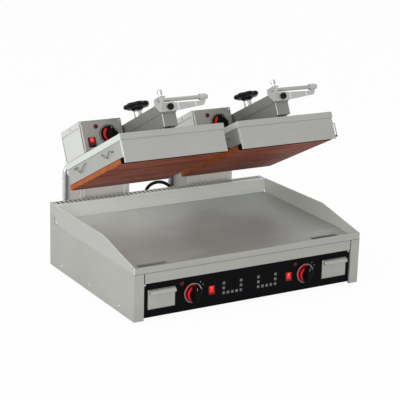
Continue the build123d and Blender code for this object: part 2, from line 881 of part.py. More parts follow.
# Head pieces, drawn level with the sheet's rear edge at the origin
def head_lid():
    half = head_width / 2
    shape = head_block(-half, half, -5, head_length, side_walls_top, lid_top)
    low = side_walls_top - 1
    wide = half - skin
    inner = head_block(-wide, wide, -5 + skin, head_length - skin, low, lid_top - skin)
    shape = fillet(shape.edges().group_by(Axis.Z)[-1], 1.2) - inner
    for across, forward in beam_feet():
        shape -= rod_z(3 + fit_gap, across, -forward, lid_top - 2 * skin, lid_top + 1)
    return shape


def head_housing():
    half = head_width / 2 - skin - seat_gap
    front = head_length - skin - seat_gap
    rear = -5 + skin + seat_gap
    top = lid_top - skin - seat_gap
    shape = head_block(-half, half, rear, front, housing_bottom + seat_gap, top)
    shape += head_block(-half, half, skirt_back, front, skirt_bottom, housing_bottom + 5)
    shape -= head_block(-half + skin, half - skin, rear + skin, front - skin, skirt_bottom - 1, top + 1)
    return shape


def release_outline(inset):
    radius = release_rear_radius - inset
    centre = release_rear_radius
    rear = -1.5
    bottom = Line((platen_front - inset, inset), (rear, inset))
    nose = ThreePointArc((rear, inset), (rear - radius, centre), (rear, 2 * centre - inset))
    top = Line((rear, 2 * centre - inset), (platen_front - inset, 2 * centre - inset))
    close = Line((platen_front - inset, 2 * centre - inset), (platen_front - inset, inset))
    return make_face([bottom, nose, top, close])


def head_extrude(face, half):
    turned = Plane((-half, 0, 0), x_dir=(0, -1, 0), z_dir=(-1, 0, 0)) * face
    return extrude(turned, amount=2 * half, dir=(1, 0, 0))


def round_sides(body, half, low, radius):
    edges = [
        edge
        for edge in body.edges().filter_by(Axis.Y)
        if abs(abs(edge.center().X) - half) < 0.01 and abs(edge.center().Z - low) < 0.01
    ]
    return fillet(edges, radius)


# The sheet wraps the platen below, round its rear edge and up its sides
def release_sheet():
    half = head_width / 2
    t = release_thickness
    outer = round_sides(head_extrude(release_outline(0), half), half, 0, release_side_radius)
    inner = head_extrude(release_outline(t), half - t)
    inner = round_sides(inner, half - t, t, release_side_radius - t)
    open_top = head_block(-half - 1, half + 1, -30, platen_front + 1, housing_bottom, housing_bottom + 10)
    mouth = head_block(-half + t, half - t, 0, platen_front - t, housing_bottom / 2, housing_bottom + 10)
    return outer - inner - open_top - mouth


def platen():
    t = release_thickness + seat_gap
    half = head_width / 2 - t
    body = head_extrude(release_outline(t), half)
    body = round_sides(body, half, t, release_side_radius - t)
    body = body & head_block(-half, half, -20, platen_front - t, 0, t + platen_thickness)
    pad = head_block(-half + 12, half - 12, 12, platen_front - 12, t + 5, housing_bottom + 4)
    body = body + pad
    up = housing_bottom + 4 + element_radius + seat_gap
    span = head_width / 2 - 40
    tube = serpentine(-span, span, -platen_front + 60, -60, 3, 60)
    return [body, Pos(0, 0, up) * tube]


def beam_feet():
    return [(across, forward) for across in (-14, 14) for forward in (45, 165, 290, beam_front - 22)]


def beam():
    half = beam_width / 2
    w = beam_wall
    shape = head_block(-half, half, beam_back, beam_front, beam_bottom, beam_top)
    shape -= head_block(-half + w, half - w, beam_back - 1, beam_front - w, beam_bottom + w, beam_top - w)
    top = beam_top - w
    shape += rod_z(nut_boss_radius, 0, -adjuster_forward, top - nut_boss_height, top + 1)
    for across, forward in beam_feet():
        shape += rod_z(beam_foot_radius, across, -forward, lid_top, beam_bottom + 1)
        shape += rod_z(3, across, -forward, lid_top - skin - 4, lid_top + 1)
    return shape - rod_z(spindle_radius + fit_gap, 0, -adjuster_forward, beam_bottom + w + 1, beam_top + 1)


def control_box():
    s = box_sheet
    floor = lid_top + seat_gap
    body_top = box_top - s - seat_gap
    shape = head_block(box_left, box_right, 0, box_length, floor, body_top)
    shape -= head_block(box_left + box_recess + s, box_right - s, s, box_length - s, floor + s, body_top + 1)
    low = floor + 3
    edge = box_left + box_recess
    shape -= head_block(box_left - 1, edge, box_recess, box_length - box_flange, low, box_top)
    front0 = box_length - 2 * s
    front1 = box_length + s
    shape -= head_rod_f(dial_shaft_radius + 2, box_dial_across, front0, front1, box_dial_up)
    shape -= head_rod_f(pilot_radius - 2 + fit_gap, box_pilot_across, front0, front1, box_pilot_up)
    shape -= bezel_cut(box_rocker_across, -front1, -front0, box_rocker_up)
    inner = box_top - s
    cover = head_block(box_left, box_right, 0, box_length, box_top - box_lip, box_top)
    cover -= head_block(box_left + s, box_right - s, -1, box_length + 1, box_top - box_lip - 1, inner)
    cover = trim_cover(cover)
    screws = []
    for across, sign in ((box_left, -1), (box_right, 1)):
        a0, a1 = sorted([across, across + sign * 2])
        screws.append(head_rod_x(3.5, a0, a1, box_length / 2, box_top - box_lip / 2))
    screws.append(rod_z(3.5, box_right - 22, -box_length + 12, box_top, box_top + 3))
    return [shape, cover] + screws


def trim_cover(cover):
    gap = 0.2
    past = box_length + 1
    under = box_top - box_sheet
    edge = box_left + box_recess
    body_side = head_block(edge, box_right, -1, past, 0, under - seat_gap + gap)
    flange = head_block(box_left - 1, edge + 1, box_length - box_flange - gap, past, 0, under)
    rear = head_block(box_left - 1, edge + 1, -1, box_recess + gap, 0, under)
    return cover - body_side - flange - rear


def head_rod_f(radius, across, forward0, forward1, up):
    return rod_y(radius, across, -forward1, -forward0, up)


def on_box(shape, across, up):
    return Pos(across, -box_length, up) * shape


# Wire clips that hook the release sheet to the housing
def wire(points, radius):
    return tube_along(FilletPolyline(*points, radius=radius), clip_wire_radius)


def wire_clips():
    wall = -head_width / 2 + skin + seat_gap
    out = -head_width / 2 - clip_wire_radius - 0.7
    runs = [
        [(68, 58.5), (93, 36), (134.5, 56.5)],
        [(259, 55), (295, 35), (314.5, 53)],
    ]
    shapes = []
    for run in runs:
        a, c = run[0], run[-1]
        ends = [(wall, -c[0], c[1])]
        points = [(wall, -a[0], a[1])] + [(out, -f, n) for f, n in run] + ends
        shapes.append(wire(points, 2.0))
    for forward, up in ((52.6, 56.6), (331, 47)):
        shapes.append(head_rod_x(3, out, wall, forward, up))
    side = -wall
    reach = head_width / 2 + 9
    y = -head_length + 10
    loop = [(side, y, 50), (reach, y, 50), (reach, y, 8), (side, y, 8)]
    shapes.append(wire(loop, 5))
    return shapes


# Arm: folded channel with a hub for the shaft and the adjuster's sleeve
def arm():
    half = arm_width / 2
    w = arm_wall
    shape = head_block(-half, half, -hinge_behind, arm_front, beam_top, arm_top)
    shape += head_rod_x(arm_height / 2, -half, half, -hinge_behind, hinge_above)
    back = -hinge_behind - arm_height
    shape -= head_block(-half + w, half - w, back, arm_front - w, beam_top - 1, arm_top - w)
    shape += head_rod_x(arm_hub_radius, -half + w, half - w, -hinge_behind, hinge_above)
    shape -= head_rod_x(shaft_radius + fit_gap, -half - 1, half + 1, -hinge_behind, hinge_above)
    shape += rod_z(sleeve_radius, 0, -adjuster_forward, arm_top - 1, arm_top + sleeve_height)
    gap = spindle_radius + fit_gap
    shape -= rod_z(gap, 0, -adjuster_forward, arm_top - w - 1, arm_top + sleeve_height + 1)
    return shape


def star_knob():
    base = arm_top + sleeve_height + seat_gap
    disc0 = base + knob_hub_height
    disc1 = disc0 + knob_thickness
    lobes = Sketch() + Circle(knob_core_radius)
    for index in range(knob_lobes):
        angle = 2 * pi * index / knob_lobes
        lobes += Pos(knob_core_radius * cos(angle), knob_core_radius * sin(angle)) * Circle(knob_lobe_radius)
    lobes = fillet(lobes.vertices(), knob_web_radius)
    disc = extrude(Pos(0, 0, disc0) * lobes, amount=knob_thickness)
    disc = fillet(disc.edges().group_by(Axis.Z)[0] + disc.edges().group_by(Axis.Z)[-1], knob_round)
    knob = disc + rod_z(knob_hub_radius, 0, 0, base, disc0 + 1)
    knob += rod_z(knob_hub_radius - 3, 0, 0, disc1 - 1, disc1 + knob_cap_height)
    seat = base + knob_hub_height + knob_thickness / 2
    knob -= rod_z(spindle_radius, 0, 0, base - 1, seat)
    low = beam_bottom + beam_wall + 2
    spindle = rod_z(spindle_radius, 0, 0, low, seat)
    under = arm_top - arm_wall - seat_gap
    spindle += rod_z(spindle_radius + 4, 0, 0, under - 5, under)
    spindle = chamfer(spindle.edges().group_by(Axis.Z)[0], 1.5)
    place = Pos(0, -adjuster_forward, 0)
    return [place * knob, place * spindle]


def handle():
    half = arm_width / 2
    cheek_out = half + handle_sheet
    outline = [(-25, 17.5), (6, 17.5), (26, 11.5), (30, 0.5), (20, -7.5), (2, -29.5), (-28, -1.5)]
    face = make_face(Polyline(*[(arm_front + f, arm_top + n) for f, n in outline], close=True).edges())
    face = fillet(face.vertices(), 3)
    plane = Plane((-cheek_out, 0, 0), x_dir=(0, -1, 0), z_dir=(-1, 0, 0))
    cheek = extrude(plane * face, amount=handle_sheet - seat_gap, dir=(1, 0, 0))
    front0 = arm_front + seat_gap
    front1 = front0 + handle_sheet
    plate_outline = [
        (-cheek_out, arm_top - 27.5),
        (17, arm_top - 27.5),
        (boss_start - 8, arm_top - 18.5),
        (boss_end - 10, arm_top - 17.5),
        (boss_end - 2, arm_top - 8),
        (boss_end - 4, rod_up),
        (boss_start + 2, rod_up),
        (boss_start + 2, arm_top - 4.5),
        (-cheek_out, arm_top - 1.5),
    ]
    plate = prism_y(plate_outline, -front1, -front0)
    tab = head_block(-cheek_out, plunger_across + 9, arm_front - 10, arm_front + 16, tab_top - 3, tab_top)
    shape = cheek + plate + tab
    shape += head_rod_x(boss_radius, boss_start, boss_end, rod_forward, rod_up)
    shape -= head_rod_x(rod_radius + fit_gap, -half - seat_gap, boss_end + 1, rod_forward, rod_up)
    shape -= head_rod_x(rod_pin_radius + fit_gap, -cheek_out - 1, -half, rod_forward, rod_up)
    shape -= rod_z(plunger_pin_radius + fit_gap, plunger_across, -rod_forward, rod_up - 1, tab_top + 4)
    grip = head_rod_x(rod_radius, -half, boss_end, rod_forward, rod_up)
    grip += head_rod_x(rod_pin_radius, -cheek_out - 1, -half, rod_forward, rod_up)
    grip += head_rod_x(rod_cap_radius, -cheek_out - 4, -cheek_out - fit_gap, rod_forward, rod_up)
    grip += head_rod_x(boss_radius - 2, boss_end + fit_gap, boss_end + nut_length, rod_forward, rod_up)
    pocket = rod_up + plunger_pin_radius
    grip -= rod_z(plunger_pin_radius + 0.2, plunger_across, -rod_forward, pocket, rod_up + 10)
    bolt = head_rod_f(stop_bolt_radius, stop_bolt_across, front1, front1 + 7, arm_top - stop_bolt_drop)
    bolt = fillet(bolt.edges().group_by(Axis.Y)[0], 2)
    return [shape, grip, bolt]


# Pull plunger: its pin drops into a pocket in the grip rod
def latch_plunger():
    pin = rod_z(plunger_pin_radius, 0, 0, rod_up + 3.5, tab_top + 12)
    neck = rod_z(plunger_pin_radius + 2, 0, 0, tab_top + seat_gap, tab_top + 10)
    knob = rod_z(plunger_knob_radius, 0, 0, tab_top + 10, tab_top + 10 + plunger_knob_height)
    knob = fillet(knob.edges().group_by(Axis.Z)[-1], 4)
    return Pos(plunger_across, -rod_forward, 0) * (pin + neck + knob)


# Write every piece
def place_panel(shape, x, height):
    return Pos(x, panel_front, floor_z + height) * shape


def write_base():
    save("left_side_panel", side_panel(-1))
    save("right_side_panel", side_panel(1))
    save("bottom_pan", bottom_pan())
    save("rear_panel", rear_panel())
    save("front_frame", front_frame())
    save("control_panel", control_panel())
    save("griddle_plate", griddle_plate())
    save("splash_guard", splash_guard())
    save("vent_strip", vent_strip())
    save("feet", *feet())
    save("lower_elements", *lower_elements())
    signs = (-1, 1)
    save("dial_rings", *[place_panel(dial_ring(), s * dial_offset, dial_height) for s in signs])
    save("lower_thermostats", *[place_panel(thermostat(), s * dial_offset, dial_height) for s in signs])
    pilots = [place_panel(pilot_lamp(), s * dial_offset - pilot_left_of_dial, pilot_height) for s in signs]
    save("base_pilot_lamps", *pilots)
    bezels = [place_panel(rocker_bezel(), s * rocker_offset, rocker_height) for s in signs]
    save("base_rocker_bezels", *bezels)
    screw_x = half_width - post_width - seat_gap - 5
    screw = rod_y(panel_screw_radius, 0, -1.5, 0, 0) + rod_y(panel_screw_radius / 2, 0, -1, 5, 0)
    save("panel_screws", *[place_panel(screw, s * screw_x, panel_top - 6) for s in signs])
    for name, sign in sides.items():
        save("drawer_" + name, drawer(sign * drawer_offset))
        save("dial_base_" + name, place_panel(dial_knob(), sign * dial_offset, dial_height))
        save("rocker_base_" + name, place_panel(rocker(), sign * rocker_offset, rocker_height))
    save("columns", *[column(centre) for centre in head_centres.values()])
    save("hinge_brackets", *[hinge_bracket(centre) for centre in head_centres.values()])
    save("hinge_shafts", *[piece for centre in head_centres.values() for piece in hinge_shaft(centre)])
    save("conduits", *[piece for centre in head_centres.values() for piece in conduit(centre)])


def write_lead():
    save("cord_gland", cord_gland())
    tube, free_length = power_cord()
    save("power_cord", tube)
    x, y, z = lead_points()[-1]
    coil, end, coil_length = cord_coil((x, y + 2 * lead_radius, z))
    save("cord_coil", coil)
    save("plug", plug(end))
    print("lead total", round(free_length + coil_length))


def write_head(name, centre):
    pieces = {
        "head_lid": [head_lid()],
        "head_housing": [head_housing()],
        "platen": platen(),
        "release_sheet": [release_sheet()],
        "beam": [beam()],
        "control_box": control_box(),
        "head_pilot_lamp": [on_box(pilot_lamp(), box_pilot_across, box_pilot_up)],
        "head_fittings": [
            on_box(dial_ring(), box_dial_across, box_dial_up),
            on_box(rocker_bezel(), box_rocker_across, box_rocker_up),
            on_box(thermostat(), box_dial_across, box_dial_up),
        ],
        "wire_clips": wire_clips(),
        "arm": [arm()],
        "handle": handle(),
        "latch_plunger": [latch_plunger()],
        "star_knob": star_knob(),
        "dial_head": [on_box(dial_knob(), box_dial_across, box_dial_up)],
        "rocker_head": [on_box(rocker(), box_rocker_across, box_rocker_up)],
    }
    for key, shapes in pieces.items():
        save(key + "_" + name, *[place_head(centre, shape) for shape in shapes])


write_base()
write_lead()
for name, centre in head_centres.items():
    write_head(name, centre)
print("front plane y", round(front_y, 3), "hinge", round(hinge_y, 3), round(hinge_z, 3))
print("plate slope", round(plate_slope, 4), "closed angle", round(open_angle + plate_slope, 4))
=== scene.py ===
import math

import bmesh
import bpy
from mathutils import Matrix, Vector


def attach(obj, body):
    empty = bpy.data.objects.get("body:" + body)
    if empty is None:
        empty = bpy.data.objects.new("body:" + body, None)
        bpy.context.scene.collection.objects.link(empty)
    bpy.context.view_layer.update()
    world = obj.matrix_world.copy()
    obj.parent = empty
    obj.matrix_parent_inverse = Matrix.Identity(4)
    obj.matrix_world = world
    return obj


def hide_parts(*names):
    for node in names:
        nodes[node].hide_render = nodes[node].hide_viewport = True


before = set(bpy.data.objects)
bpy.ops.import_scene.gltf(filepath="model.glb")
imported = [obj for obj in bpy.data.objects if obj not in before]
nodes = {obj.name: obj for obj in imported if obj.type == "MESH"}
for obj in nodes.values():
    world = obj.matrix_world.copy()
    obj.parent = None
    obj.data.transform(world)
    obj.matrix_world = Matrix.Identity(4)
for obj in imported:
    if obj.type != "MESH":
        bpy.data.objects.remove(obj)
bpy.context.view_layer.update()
sides = ("left", "right")

# Places that the dressing shares with the griddle's own frame, in metres
front_plane = -0.3476
panel_face = front_plane + 0.007
feet_height = 0.012
half_width = 0.4
hinge = Vector((0.0, 0.3494, 0.341))
open_tilt = math.radians(26)
head_behind_hinge = 0.174
head_below_hinge = 0.148
head_centre = {"left": -0.2, "right": 0.2}
box_front = 0.143
arm_top = 0.1635
adjuster_back = -0.207
seat_gap = 0.0003
sleeve_height = 0.0275
knob_base = arm_top + sleeve_height + seat_gap
arm_half_width = 0.025
washer = 0.002
fork_sheet = 0.006
conduit_reach = arm_half_width + washer + seat_gap + fork_sheet
conduit_radius = 0.007
column_half_width = 0.09
base_dial_across = 0.2005
base_rocker_across = 0.138
head_rocker_across = -0.1415
lens_half_width = 0.0072
dial_height = 0.070


def linear(r, g, b):
    """A colour given as screen values from 0 to 255."""
    return tuple(((c / 255 + 0.055) / 1.055) ** 2.4 if c > 10 else c / 255 / 12.92 for c in (r, g, b))


# Finishes
class Finish:
    """One material: its shader, and short calls for the nodes that feed it."""

    def __init__(self, name, colour, roughness, metallic=0.0):
        self.material = bpy.data.materials.new(name)
        self.material.use_nodes = True
        self.tree = self.material.node_tree
        self.shader = self.tree.nodes["Principled BSDF"]
        self.shader.inputs["Base Color"].default_value = (*colour, 1)
        self.shader.inputs["Roughness"].default_value = roughness
        self.shader.inputs["Metallic"].default_value = metallic
        self.place = self.node("ShaderNodeTexCoord").outputs["Object"]
        self.material.diffuse_color = (*colour, 1)

    def node(self, kind, **settings):
        made = self.tree.nodes.new(kind)
        for key, value in settings.items():
            setattr(made, key, value)
        return made

    def link(self, source, target):
        self.tree.links.new(source, target)

    def reckon(self, operation, *values, kind="ShaderNodeMath", output="Value"):
        """A sum of sockets and plain numbers."""
        node = self.node(kind, operation=operation)
        for socket, value in zip(node.inputs, values):
            if isinstance(value, (int, float, tuple)):
                socket.default_value = value
            else:
                self.link(value, socket)
        return node.outputs[output]

    def mapped(self, scale=(1, 1, 1), turn=(0, 0, 0)):
        node = self.node("ShaderNodeMapping")
        node.inputs["Scale"].default_value = scale
        node.inputs["Rotation"].default_value = turn
        self.link(self.place, node.inputs["Vector"])
        return node.outputs["Vector"]

    def noise(self, vector, scale, detail=3.0, rough=0.55):
        node = self.node("ShaderNodeTexNoise")
        node.inputs["Scale"].default_value = scale
        node.inputs["Detail"].default_value = detail
        node.inputs["Roughness"].default_value = rough
        self.link(vector, node.inputs["Vector"])
        return node.outputs["Fac"]

    def spread(self, value, low, high, to_low=0.0, to_high=1.0):
        node = self.node("ShaderNodeMapRange")
        for socket, number in zip(("From Min", "From Max", "To Min", "To Max"), (low, high, to_low, to_high)):
            node.inputs[socket].default_value = number
        self.link(value, node.inputs["Value"])
        return node.outputs["Result"]

    def mix(self, factor, first, second, kind="MIX"):
        node = self.node("ShaderNodeMix", data_type="RGBA", blend_type=kind)
        if isinstance(factor, float):
            node.inputs[0].default_value = factor
        else:
            self.link(factor, node.inputs[0])
        for socket, value in ((node.inputs[6], first), (node.inputs[7], second)):
            if isinstance(value, tuple):
                socket.default_value = (*value, 1) if len(value) == 3 else value
            else:
                self.link(value, socket)
        return node.outputs[2]

    def edge(self, radius):
        """Rounded edge normal and a mask that is 1 along the edges."""
        bevel = self.node("ShaderNodeBevel", samples=4)
        bevel.inputs["Radius"].default_value = radius
        flat = self.node("ShaderNodeNewGeometry")
        rounded = bevel.outputs["Normal"]
        same = self.reckon("DOT_PRODUCT", rounded, flat.outputs["Normal"], kind="ShaderNodeVectorMath")
        return rounded, self.spread(same, 1.0, 0.82)

    def part(self, axis, vector=None):
        """One number of a place or direction."""
        split = self.node("ShaderNodeSeparateXYZ")
        self.link(self.place if vector is None else vector, split.inputs[0])
        return split.outputs[axis]

    def facing(self, axis, start, full):
        """1 on faces whose outward direction on an axis passes from start to full, 0 elsewhere."""
        outside = self.node("ShaderNodeNewGeometry").outputs["Normal"]
        return self.spread(self.part(axis, outside), start, full)

    def facing_left(self):
        return self.facing("X", -0.6, -0.9)

    def facing_front(self):
        return self.facing("Y", -0.5, -0.8)

    def near_values(self, number, values, reach):
        """1 where a number lies within a short reach of any of the values."""
        nearest = None
        for value in values:
            away = self.reckon("ABSOLUTE", self.reckon("SUBTRACT", number, value))
            nearest = away if nearest is None else self.reckon("MINIMUM", nearest, away)
        return self.spread(nearest, reach * 1.15, reach * 0.85)

    def both(self, first, second):
        return self.reckon("MULTIPLY", first, second)

    def along(self, direction):
        """How far a place lies along a direction, in its lengths."""
        return self.reckon("DOT_PRODUCT", self.place, direction, kind="ShaderNodeVectorMath")

    def forward(self):
        """How far in front of a head's rear edge a place is, along the open head."""
        out, up = math.cos(open_tilt), math.sin(open_tilt)
        start = -hinge.y * out + hinge.z * up + head_behind_hinge
        return self.reckon("SUBTRACT", self.along((0.0, -out, up)), start)

    def near_line(self, y, z, radius):
        """1 within a radius of a line that runs across the griddle."""
        kind = "ShaderNodeVectorMath"
        offset = self.reckon("MULTIPLY_ADD", self.place, (0, 1, 1), (0, -y, -z), kind=kind, output="Vector")
        return self.spread(self.reckon("LENGTH", offset, kind=kind), radius + 0.0001, radius - 0.0001)

    def bump(self, height, strength, distance, normal=None):
        node = self.node("ShaderNodeBump")
        node.inputs["Strength"].default_value = strength
        node.inputs["Distance"].default_value = distance
        self.link(height, node.inputs["Height"])
        if normal is not None:
            self.link(normal, node.inputs["Normal"])
        self.link(node.outputs["Normal"], self.shader.inputs["Normal"])

    def paint(self, colour, roughness=None):
        self.link(colour, self.shader.inputs["Base Color"])
        if roughness is not None:
            self.link(roughness, self.shader.inputs["Roughness"])


def shade(colour, factor):
    return tuple(min(1.0, c * factor) for c in colour)


def brushed_steel(
    name,
    colour,
    roughness=0.4,
    metallic=0.55,
    grain="X",
    turn=(0, 0, 0),
    streak=0.05,
    edge=0.5,
    side=None,
    side_from=None,
    shaded_sides=None,
    shadow_heights=(),
    painted_highlights=(),
    highlight_width=0.0014,
):
    """Satin steel: fine grain along one axis, soft handling marks, and brighter edges that are
    part wear and part painted highlight.

    side is a colour painted on the faces that look left, from side_from along a head on:
    painted light where it is lighter than the steel, painted shade where it is darker. The
    shaded sides, given by their x, look left and get a painted shade colour of their own.
    Front faces get painted shadow lines at the given heights, under a step, and painted
    highlights at the given x, along fold edges and corners.
    """
    finish = Finish(name, colour, roughness, metallic)
    along = {"X": (2.5, 520, 520), "Y": (520, 2.5, 520), "Z": (520, 520, 2.5)}[grain]
    lines = finish.noise(finish.mapped(along, turn), 1.0, 4.0)
    marks = finish.noise(finish.mapped(), 7.0, 4.0, 0.6)
    body = finish.mix(finish.spread(lines, 0.3, 0.7), shade(colour, 1 - streak), shade(colour, 1 + streak))
    body = finish.mix(finish.spread(marks, 0.35, 0.7), body, shade(colour, 0.95))
    # faces that look left get the side colour: painted light, and painted shade where it is darker
    if side:
        mask = finish.facing_left()
        if side_from is not None:
            ahead = finish.spread(finish.forward(), side_from - 0.0002, side_from + 0.0002)
            mask = finish.both(mask, ahead)
        if shaded_sides:
            outer = finish.near_values(finish.part("X"), shaded_sides[0], 0.001)
            side = finish.mix(outer, side, shaded_sides[1])
        body = finish.mix(mask, body, side)
    # painted shadow lines on front faces, under a step
    if shadow_heights:
        dark = finish.both(finish.facing_front(), finish.near_values(finish.part("Z"), shadow_heights, 0.0009))
        body = finish.mix(dark, body, shade(colour, 0.22))
    # painted highlights on front faces along fold edges and corners
    if painted_highlights:
        bright = finish.both(finish.facing_front(), finish.near_values(finish.part("X"), painted_highlights, highlight_width))
        body = finish.mix(bright, body, linear(236, 238, 235))
    # edges are lightened by the edge strength: part wear, part painted highlight
    normal, wear_and_highlight = finish.edge(0.0011)
    body = finish.mix(finish.spread(wear_and_highlight, 0.0, 1.0, 0.0, edge), body, shade(colour, 1.6))
    finish.paint(body, finish.spread(marks, 0.3, 0.75, roughness - 0.05, roughness + 0.08))
    finish.bump(lines, 0.12, 0.0004, normal)
    return finish.material


def moulded(name, colour, roughness, grain=900.0, depth=0.15, coat=0.0, gloss=0.5):
    """Moulded plastic or rubber: a fine pebble and a slight bloom of dust."""
    finish = Finish(name, colour, roughness)
    pebble = finish.noise(finish.mapped(), grain, 2.0)
    bloom = finish.noise(finish.mapped(), 30.0, 3.0)
    body = finish.mix(finish.spread(bloom, 0.4, 0.8, 0.0, 0.5), colour, shade(colour, 1.8))
    # edges lightened: part wear, part painted highlight
    normal, wear_and_highlight = finish.edge(0.0008)
    body = finish.mix(finish.spread(wear_and_highlight, 0.0, 1.0, 0.0, 0.4), body, tuple(c + 0.02 for c in shade(colour, 2.2)))
    finish.paint(body, finish.spread(bloom, 0.3, 0.8, roughness - 0.05, roughness + 0.1))
    finish.shader.inputs["Coat Weight"].default_value = coat
    finish.shader.inputs["Specular IOR Level"].default_value = gloss
    finish.bump(pebble, depth, 0.0002, normal)
    return finish.material


def red_lens(name, colour, glow, roughness=0.18, lit_above=None, across=None, lower_half_shade=0.3):
    """Clear red lens over a lamp. A rocker glows through its upper half; its lower half and edges get a painted
    shade.
    """
    finish = Finish(name, colour, roughness)
    cloud = finish.noise(finish.mapped(), 160.0, 2.0)
    body = finish.mix(finish.spread(cloud, 0.35, 0.7), shade(colour, 0.75), shade(colour, 1.1))
    if lit_above:
        lit = finish.spread(finish.part("Z"), *lit_above)
        if across:
            lit = finish.both(lit, finish.near_values(finish.part("X"), across, lens_half_width))
        body = finish.mix(lit, shade(colour, lower_half_shade), body)
        finish.link(finish.mix(lit, (0.02, 0.0, 0.0), colour), finish.shader.inputs["Emission Color"])
    else:
        finish.shader.inputs["Emission Color"].default_value = (*colour, 1)
    finish.paint(body)
    finish.shader.inputs["Specular IOR Level"].default_value = 0.3
    finish.shader.inputs["Emission Strength"].default_value = glow
    normal = finish.edge(0.0006)[0]
    finish.bump(cloud, 0.05, 0.0002, normal)
    return finish.material


def release_cloth():
    """Coated glass cloth, toasted brown, with streaks across the head and darker cooked patches."""
    colour = linear(118, 50, 34)
    finish = Finish("toasted_release_cloth", colour, 0.6)
    streaks = finish.noise(finish.mapped((1.2, 85, 85), (open_tilt, 0, 0)), 1.0, 6.0, 0.7)
    fine = finish.noise(finish.mapped((9, 900, 900), (open_tilt, 0, 0)), 1.0, 3.0, 0.6)
    patches = finish.noise(finish.mapped((1, 3, 3)), 5.0, 4.0, 0.6)
    weave = finish.node("ShaderNodeTexWave", wave_type="BANDS", bands_direction="X")
    weave.inputs["Scale"].default_value = 260.0
    weave.inputs["Distortion"].default_value = 0.6
    finish.link(finish.place, weave.inputs["Vector"])
    body = finish.mix(finish.spread(streaks, 0.41, 0.59), linear(84, 27, 17), linear(172, 78, 46))
    body = finish.mix(finish.spread(fine, 0.35, 0.7, 0.0, 0.35), body, linear(168, 84, 50))
    body = finish.mix(finish.spread(patches, 0.45, 0.75, 0.0, 0.5), body, linear(88, 34, 26))
    # the folded-up rim, on faces that look left, gets an orange colour of its own
    rim = finish.mix(finish.spread(streaks, 0.35, 0.65), linear(138, 68, 26), linear(170, 94, 40))
    body = finish.mix(finish.facing_left(), body, rim)
    # painted shade on the part of the sheet behind the head's skirt
    shade_behind_skirt = finish.spread(finish.forward(), 0.3748, 0.3756)
    body = finish.mix(shade_behind_skirt, body, linear(26, 18, 15))
    finish.paint(body, finish.spread(patches, 0.3, 0.8, 0.42, 0.6))
    finish.shader.inputs["Specular IOR Level"].default_value = 0.12
    finish.bump(weave.outputs["Fac"], 0.12, 0.0003)
    return finish.material


def handle_steel():
    """Bent plate with a duller round grip rod through it."""
    colour = linear(188, 190, 187)
    rod = linear(190, 190, 188)
    fold_places = (-0.1660, -0.1065, 0.2340, 0.2935)
    finish = Finish("satin_handle_steel", colour, 0.38, 0.55)
    lines = finish.noise(finish.mapped((2.5, 520, 520), (open_tilt, 0, 0)), 1.0, 4.0)
    on_rod = finish.near_line(*grip_rod)
    body = finish.mix(finish.spread(lines, 0.3, 0.7), shade(colour, 0.95), shade(colour, 1.05))
    turned_rod = finish.mix(finish.spread(lines, 0.3, 0.7), shade(rod, 0.9), shade(rod, 1.1))
    # painted highlights on front faces along the plate's fold lines
    fold_highlights = finish.both(finish.facing_front(), finish.near_values(finish.part("X"), fold_places, 0.0016))
    body = finish.mix(fold_highlights, body, linear(236, 238, 235))
    body = finish.mix(on_rod, body, turned_rod)
    # edges lightened: part wear, part painted highlight
    normal, wear_and_highlight = finish.edge(0.0012)
    body = finish.mix(finish.spread(wear_and_highlight, 0.0, 1.0, 0.0, 0.6), body, shade(colour, 1.4))
    finish.link(finish.spread(on_rod, 0.0, 1.0, 0.5, 0.95), finish.shader.inputs["Metallic"])
    finish.paint(body, finish.spread(on_rod, 0.0, 1.0, 0.4, 0.22))
    finish.bump(lines, 0.1, 0.0004, normal)
    return finish.material


def griddle_surface():
    """Ground steel plate: fine lengthwise grinding, a painted reflection that is brightest at the back left and
    darker to the front right, seasoning clouds, scraper marks.
    """
    fresh_and_reflecting = linear(222, 226, 222)
    seasoned_and_shaded = linear(166, 170, 166)
    finish = Finish("ground_griddle_plate", fresh_and_reflecting, 0.42, 0.4)
    lines = finish.noise(finish.mapped((2.0, 420, 420)), 1.0, 4.0)
    clouds = finish.noise(finish.mapped((1, 1.6, 1)), 4.2, 5.0, 0.6)
    scrapes = finish.noise(finish.mapped((90, 1.6, 90), (0, 0, 0.12)), 1.0, 3.0)
    # painted reflection: brighter at the back left, darker to the front right
    painted_reflection = finish.spread(finish.along((1.0, -0.9, 0.0)), -0.42, 0.16)
    body = finish.mix(painted_reflection, fresh_and_reflecting, seasoned_and_shaded)
    body = finish.mix(finish.spread(lines, 0.3, 0.7, 0.0, 0.12), body, seasoned_and_shaded)
    body = finish.mix(finish.spread(clouds, 0.4, 0.75, 0.0, 0.3), body, shade(seasoned_and_shaded, 0.86))
    body = finish.mix(finish.spread(scrapes, 0.6, 0.75, 0.0, 0.08), body, shade(fresh_and_reflecting, 1.1))
    # edges lightened: part wear, part painted highlight
    normal, wear_and_highlight = finish.edge(0.0015)
    body = finish.mix(finish.spread(wear_and_highlight, 0.0, 1.0, 0.0, 0.5), body, shade(fresh_and_reflecting, 1.2))
    finish.paint(body, finish.spread(clouds, 0.3, 0.8, 0.36, 0.5))
    finish.bump(lines, 0.1, 0.0004, normal)
    return finish.material


def panel_paint():
    """Satin black front with a very fine orange peel and faint wipe marks."""
    colour = linear(8, 8, 11)
    finish = Finish("black_control_front", colour, 0.5)
    finish.shader.inputs["Specular IOR Level"].default_value = 0.06
    peel = finish.noise(finish.mapped(), 700.0, 2.0)
    wipes = finish.noise(finish.mapped((3, 30, 30)), 1.0, 3.0)
    body = finish.mix(finish.spread(wipes, 0.4, 0.8), colour, shade(colour, 1.5))
    normal = finish.edge(0.0008)[0]
    finish.paint(body, finish.spread(wipes, 0.3, 0.8, 0.4, 0.55))
    finish.bump(peel, 0.06, 0.0002, normal)
    return finish.material


